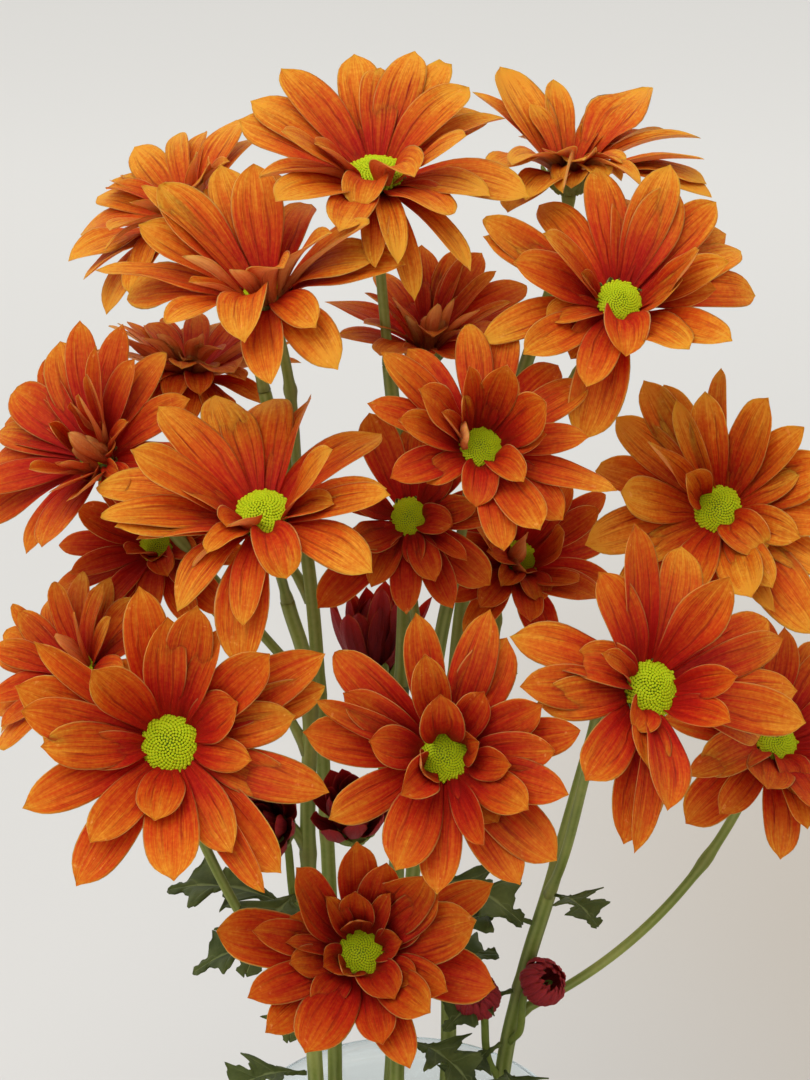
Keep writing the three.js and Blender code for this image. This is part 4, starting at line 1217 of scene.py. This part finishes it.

# %% [markdown]
# ## Half-open flowers and buds
# Deep in the bouquet three flowers are only half open: their dark petals still stand
# upright round each other. Two buds lower down are closed knobs of folded petals in a
# green cup. Both are made with the petal function, steep and curled inwards. Their dark
# maroon is partly their own colour and partly painted shade for where they sit deep in
# the bouquet.

# %% Half-open flowers and buds
CUP_DEPTH = 0.9
HALF_OPEN = {
    "half_open_back": ((-9, 30, 272), (0, .1, .99), 13, "middle_back", 228),
    "half_open_left": ((-36, -26, 246), (-.3, -.78, .5), 11, "left_front", 208),
    "half_open_middle": ((-14, -20, 246), (0, -.58, .74), 11, "middle_front", 205),
}
BUDS = {
    "bud_right": ((37, -13, 192), (.5, -.5, .6), 6.2, "right_front", 172),
    "bud_middle": ((20, -13, 187), (-.2, -.5, .8), 6.0, "right_front", 158),
}
# For each whorl: petals, first angle, length and width as shares of the radius, slope at the
# foot and at the end, cup, foot's distance, foot's depth as a share of the cup's, youth.
HALF_OPEN_WHORLS = ((9, 0, 1.9, 0.66, 50, 84, 0.5, 2.0, 0.7, 0.2),
                    (8, 20, 1.75, 0.60, 62, 96, 0.5, 2.2, 0.6, 0.5),
                    (6, 8, 1.5, 0.50, 72, 108, 0.5, 2.0, 0.5, 0.8))
BUD_WHORLS = ((15, 0, 2.15, 0.60, 8, 152, 0.4, 0.8, 0.85, 0.2),
              (15, 12, 2.0, 0.56, 12, 154, 0.4, 0.6, 0.78, 0.6))
HALF_OPEN_SCALES, BUD_SCALES, BUD_LOOSE = 10, 9, 0.35
THIN_SIDES, THIN_RIDGES, THIN_RIDGE_HEIGHT, CUP_TURNS = 12, 4, 0.06, 20


def green_cup(at, faces, path, radius, depth, scales, rng):
    """A thin stalk, a cup under the petals and the scales round it."""
    rod = sweep(path, np.full(len(path), THIN_STALK_RADIUS), THIN_SIDES, THIN_RIDGES, THIN_RIDGE_HEIGHT)
    cup = lathe([(0, -depth - 0.4), (1.6, -depth), (radius * 0.55, -depth * 0.8),
                 (radius * 0.62, -depth * 0.45), (0, -depth * 0.35)], CUP_TURNS)
    ring = whorl(rng, even(scales, 5), depth * 1.1, radius * 0.36, 30, 85, 0.5, 1.2, -depth, 0, loose=0.4)
    return join([rod, (put(cup[0], at, faces), cup[1]), petal_mesh(ring, at, faces)])


def dark_flower(name, plan, seed, whorls, scales, loose):
    """Dark petals and the green parts under them as one piece with two materials."""
    at, faces, radius, stem, fork = plan
    rng = np.random.default_rng(seed)
    depth = radius * CUP_DEPTH
    path = stalk_path(at, faces, stem, fork, depth, THIN_STALK_RADIUS)
    petals = gather([
        whorl(rng, even(count, start), length * radius, width * radius, rise, ends, cup, foot,
              -sunk * depth, youth, loose=loose)
        for count, start, length, width, rise, ends, cup, foot, sunk, youth in whorls])
    dark_points, dark_faces = petal_mesh(petals, at, faces)
    green = green_cup(at, faces, path, radius, depth, scales, rng)
    points, piece_faces = join([(dark_points, dark_faces), green])
    values = {key: np.concatenate([numbers, np.zeros(len(green[0]))])
              for key, numbers in petal_values(petals, 0.0).items()}
    piece = make_piece(f"{name}_flower", points, piece_faces, DARK_AND_SHADED_PETAL, "dark_petal", [name], values,
                       levels=1)
    piece.data.materials.append(STEM)
    is_green = np.arange(len(piece_faces)) >= len(dark_faces)
    piece.data.polygons.foreach_set("material_index", is_green.astype(int))


for seed, (name, plan) in enumerate(HALF_OPEN.items(), 201):
    dark_flower(name, plan, seed, HALF_OPEN_WHORLS, HALF_OPEN_SCALES, 1.0)
for seed, (name, plan) in enumerate(BUDS.items(), 211):
    dark_flower(name, plan, seed, BUD_WHORLS, BUD_SCALES, BUD_LOOSE)
print(len(HALF_OPEN), "half-open flowers,", len(BUDS), "buds")

# %% [markdown]
# ## Leaves
# A chrysanthemum leaf has a narrow stalk and deep rounded lobes that point forwards. Its
# outline is a smooth half width cut by a wave, and the whole blade arches along and
# across. A Solidify modifier gives the sheet its thickness.

# %% Leaves
LEAF_WIDTH, LEAF_THICKNESS, LEAF_STALK_WIDTH = 0.84, 0.35, 0.045
LOBES, LOBE_DEPTH, LOBE_LEAN = 3.3, 0.72, 0.5
TEETH, TOOTH_DEPTH = 12, 0.09
BLADE_SHARE = 0.94
LEAVES = {
    # name: for each blade its stem, height, where it points and its length
    "leaf_left_upper": [("left_front", 209, (-1, .1, .25), 38), ("left_front", 218, (-.4, -.8, -.1), 34)],
    "leaf_left_lower": [("left_front", 197, (-1, -.2, .15), 30), ("left_front", 186, (-.2, -1, 0), 24)],
    "leaf_middle": [("middle_front", 220, (1, -.6, .1), 32), ("middle_front", 232, (.9, .1, .5), 26),
                    ("middle_front", 268, (.8, .5, .3), 26), ("middle_front", 262, (-.7, .6, .2), 24)],
    "leaf_middle_pale": [("middle_front", 190, (1, -.1, .5), 26), ("middle_front", 172, (.8, -.6, -.1), 26),
                         ("middle_front", 158, (.7, -.6, -.3), 22)],
    "leaf_right": [("right_front", 217, (.5, -.8, .1), 20), ("right_front", 208, (-.8, -.5, .35), 30),
                   ("right_front", 186, (-.8, -.5, -.2), 24)],
    "leaf_mouth_left": [("left_front", 160, (-.8, -.5, .1), 27), ("left_front", 150, (-.1, -1, .1), 20)],
    "leaf_mouth_right": [("right_front", 158, (.1, -1, .1), 24), ("right_front", 168, (-.7, -.6, -.4), 22)],
}
ROWS, COLUMNS = 60, 17


def leaf_grid(length, rng):
    """(x along, y across, z up) of a lobed blade. Half width = stalk width + envelope *
    (1 - LOBE_DEPTH * lobe wave + teeth). The lobes lean forwards by a share of their
    distance from the midrib, and the blade arches, rises to its edges and ripples."""
    t = np.linspace(0, 1, ROWS)[:, None]
    v = np.linspace(-1, 1, COLUMNS)[None]
    envelope = smooth(0.10, 0.42, t) * np.sqrt(np.clip(1 - np.clip((t - 0.45) / 0.55, 0, 1) ** 2.2, 0, 1))
    lobes = (0.5 + 0.5 * np.cos(2 * np.pi * (t * LOBES + 0.06 * np.sign(v) + rng.uniform(0, 0.1)))) ** 0.8
    teeth = TOOTH_DEPTH * np.sin(2 * np.pi * t * TEETH + rng.uniform(0, 3))
    y = length * LEAF_WIDTH / 2 * (LEAF_STALK_WIDTH + envelope * (1 - LOBE_DEPTH * lobes + teeth)) * v
    x = length * (t + 0.02) + LOBE_LEAN * np.abs(y) * (1 - t)
    arch = length * (0.10 * np.sin(np.pi * t * 0.9) - rng.uniform(0.05, 0.3) * t ** 2)
    z = arch + 0.35 * np.abs(y) - 0.02 * y ** 2 + length * 0.03 * np.sin(9 * t + 4 * v) * np.abs(v)
    return x, y, z


def blade(stem, height, points_to, length, rng):
    """A blade's points, put on its stem."""
    place, _ = on_stem(stem, height)
    out = unit(points_to)
    side = unit(np.cross((0, 0, 1), out))
    base = place + unit((out[0], out[1], 0)) * (STEM_RADIUS + GAP)
    grid = np.stack(leaf_grid(length * BLADE_SHARE, rng), -1).reshape(-1, 3)
    return base + grid @ np.stack([out, side, np.cross(out, side)]), grid_faces(ROWS, COLUMNS).tolist()


for seed, (name, blades) in enumerate(LEAVES.items(), 301):
    rng = np.random.default_rng(seed)
    points, blade_faces = join([blade(*each, rng) for each in blades])
    shape = (len(blades), ROWS, COLUMNS)
    values = {"along": np.broadcast_to(np.linspace(0, 1, ROWS)[:, None], shape),
              "across": np.broadcast_to(np.linspace(-1, 1, COLUMNS), shape)}
    piece = make_piece(f"{name}_blade", points, blade_faces, LEAF, "leaf", [name], values)
    wall = piece.modifiers.new("thickness", "SOLIDIFY")
    wall.thickness, wall.offset = LEAF_THICKNESS * MM, -1
print(len(LEAVES), "lobed leaves")

# %% [markdown]
# ## Jar and water
# The jar is pressed clear glass with a rolled lip, a narrow neck and a round shoulder. It
# is turned from one closed profile that goes up the outside, over the lip and down the
# inside, so light bends in the wall as it does in real glass. The water is a body of its
# own just inside the wall.

# %% Glass and water
JAR_HEIGHT, LIP_RADIUS, LIP_HEIGHT, LIP_WIDTH = 140, 46.8, 7, 6.8
NECK_RADIUS, BODY_RADIUS, BASE_RADIUS, HEEL_HEIGHT = 44.5, 54, 42, 13
GLASS_WALL, GLASS_FLOOR, SHOULDER_FOOT, NECK_FOOT, WATER_LEVEL = 3, 6, 88, 120, 84
FLOOR_ROUNDING = 10
TURNS = 96


def arc(centre, radii, start, end, count):
    """Points of an ellipse's arc, (centre + radii (cos a, sin a)), from start to end degrees."""
    angle = np.radians(np.linspace(start, end, count))
    return [(centre[0] + radii[0] * math.cos(a), centre[1] + radii[1] * math.sin(a)) for a in angle]


def clear_paint(name, tint, ior):
    """A see-through material, tinted, that bends light by its index."""
    return Paint(name, Base_Color=(*tint, 1), Roughness=0.0, IOR=ior, Transmission_Weight=1.0)


def glass_paint():
    """Clear glass with faint ripples left by the mould."""
    paint = clear_paint("glass", (0.84, 0.92, 0.94), 1.5)
    ripple = paint.noise(paint.place(), 40, 1)
    return paint.done(Normal=paint.bump(ripple, 0.0006, 0.25))


shoulder_width = BODY_RADIUS - NECK_RADIUS
shoulder_height = NECK_FOOT - SHOULDER_FOOT
outside = [(0, 1.2), (BASE_RADIUS * 0.8, 0.8), (BASE_RADIUS * 0.86, 0)]
outside += arc((BASE_RADIUS, HEEL_HEIGHT), (BODY_RADIUS - BASE_RADIUS, HEEL_HEIGHT), -88, 0, 8)
outside += arc((NECK_RADIUS, SHOULDER_FOOT), (shoulder_width, shoulder_height), 0, 88, 12)
outside += [(NECK_RADIUS, NECK_FOOT + 4), (NECK_RADIUS, JAR_HEIGHT - LIP_HEIGHT - 1)]
outside += arc((LIP_RADIUS - LIP_WIDTH / 2, JAR_HEIGHT - LIP_HEIGHT / 2), (LIP_WIDTH / 2, LIP_HEIGHT / 2),
               -70, 150, 14)
neck_inside = NECK_RADIUS - GLASS_WALL
inside = [(neck_inside, NECK_FOOT + 8), (neck_inside, NECK_FOOT + 2)]
inside += arc((neck_inside, SHOULDER_FOOT - 2), (shoulder_width, shoulder_height), 88, 0, 12)
inside += arc((BASE_RADIUS - 1, GLASS_FLOOR + FLOOR_ROUNDING),
              (BODY_RADIUS - GLASS_WALL - BASE_RADIUS + 1, FLOOR_ROUNDING), 0, -88, 8)
inside += [(BASE_RADIUS * 0.5, GLASS_FLOOR + 0.3), (0, GLASS_FLOOR + 0.6)]
jar_points, jar_faces = lathe([*outside, *inside], TURNS)
make_piece("glass_jar", jar_points, jar_faces, glass_paint(), "glass", ["jar"])

water_radius = BODY_RADIUS - GLASS_WALL - GAP
water_profile = [(0, GLASS_FLOOR + 0.9)]
water_profile += arc((BASE_RADIUS - 1 - GAP, GLASS_FLOOR + FLOOR_ROUNDING),
                     (water_radius - BASE_RADIUS + 1 + GAP, FLOOR_ROUNDING - 0.4), -88, 0, 8)
water_profile += [(water_radius, WATER_LEVEL - 2), (water_radius, WATER_LEVEL + 0.4),
                  (water_radius - 1.6, WATER_LEVEL - 0.2), (0, WATER_LEVEL - 0.2)]
water_points, water_faces = lathe(water_profile, TURNS)
water = clear_paint("water", (0.97, 0.99, 0.96), 1.33).done()
make_piece("jar_water", water_points, water_faces, water, "water", ["water"])
print("jar", JAR_HEIGHT, "mm high, water to", WATER_LEVEL)

# %% [markdown]
# ## Light and floor
# A pale floor runs to the horizon, so it is the background too. Its colour is darker
# near the jar as painted shade, and darker and warmer right of the jar as a painted shadow
# of the bouquet. One broad soft light above the camera's left shoulder models the petals,
# and a pale sky fills the shadows.

# %% Floor and lights
# In metres, as Blender places lights and floors.
FLOOR_RADIUS, FLOOR_CORNERS = 8.0, 64
WINDOW, WINDOW_SIZE, WINDOW_POWER, WINDOW_AIM = (-0.65, -1.2, 2.1), 1.9, 42, (0, 0, 0.32)
# The second and third floor colours are painted shade near the jar and a painted shadow right of it.
FLOOR_COLOUR, FLOOR_NEAR_SHADE, FLOOR_SHADOW_COLOUR = (0.775, 0.765, 0.74), (0.60, 0.59, 0.57), (0.485, 0.44, 0.385)
SKY_COLOUR, SKY_STRENGTH = (1.0, 0.995, 0.98), 0.87

floor_paint = Paint("floor", Roughness=0.9, Specular_IOR_Level=0.1)
spot = floor_paint.place()
x_place = floor_paint.node("ShaderNodeSeparateXYZ", {}, {"Vector": spot}, output="X")
y_place = floor_paint.node("ShaderNodeSeparateXYZ", {}, {"Vector": spot}, output="Y")
# Painted shade: the floor is darker up to 0.2 metres behind the jar and lightens until 2.2 metres.
floor_colour = floor_paint.mix(y_place.between(0.2, 2.2), FLOOR_NEAR_SHADE, FLOOR_COLOUR)
# Painted shadow: a darker, warmer patch right of the jar that fades out 0.3 to 1.1 metres behind it.
painted_shadow = (x_place + 0.25 * y_place).between(0.0, 0.34) * (1 - y_place.between(0.3, 1.1))
floor_colour = floor_paint.mix(painted_shadow, floor_colour, FLOOR_SHADOW_COLOUR)
floor_mesh = bpy.data.meshes.new("floor")
corner = circle(FLOOR_CORNERS)
corners = np.stack([FLOOR_RADIUS * np.cos(corner), FLOOR_RADIUS * np.sin(corner), 0 * corner], -1)
floor_mesh.from_pydata(corners.tolist(), [], [list(range(FLOOR_CORNERS))])
floor_mesh.materials.append(floor_paint.done(Base_Color=floor_colour))
floor = bpy.data.objects.new("floor", floor_mesh)
bpy.context.collection.objects.link(floor)
floor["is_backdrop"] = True

world = bpy.data.worlds.new("sky")
world.use_nodes = True
sky = world.node_tree.nodes["Background"]
sky.inputs["Color"].default_value = (*SKY_COLOUR, 1)
sky.inputs["Strength"].default_value = SKY_STRENGTH
bpy.context.scene.world = world
bpy.context.scene.view_settings.view_transform = "Standard"

window_data = bpy.data.lights.new("window", "AREA")
window_data.size, window_data.energy = WINDOW_SIZE, WINDOW_POWER
window = bpy.data.objects.new("window", window_data)
window.location = WINDOW
right, ahead, up = np.array(WINDOW_AIM) - WINDOW
window.rotation_euler = (math.atan2(math.hypot(right, ahead), -up), 0, math.atan2(ahead, right) - math.pi / 2)
bpy.context.collection.objects.link(window)
print("floor, sky and window light")

# %% Sizes and finish
size = {"cad": [list(corner) for corner in CAD_BOX], "visual": [list(corner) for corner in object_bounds()]}
for key, (low, high) in size.items():
    print(key, [round(v / MM, 1) for v in low], [round(v / MM, 1) for v in high])
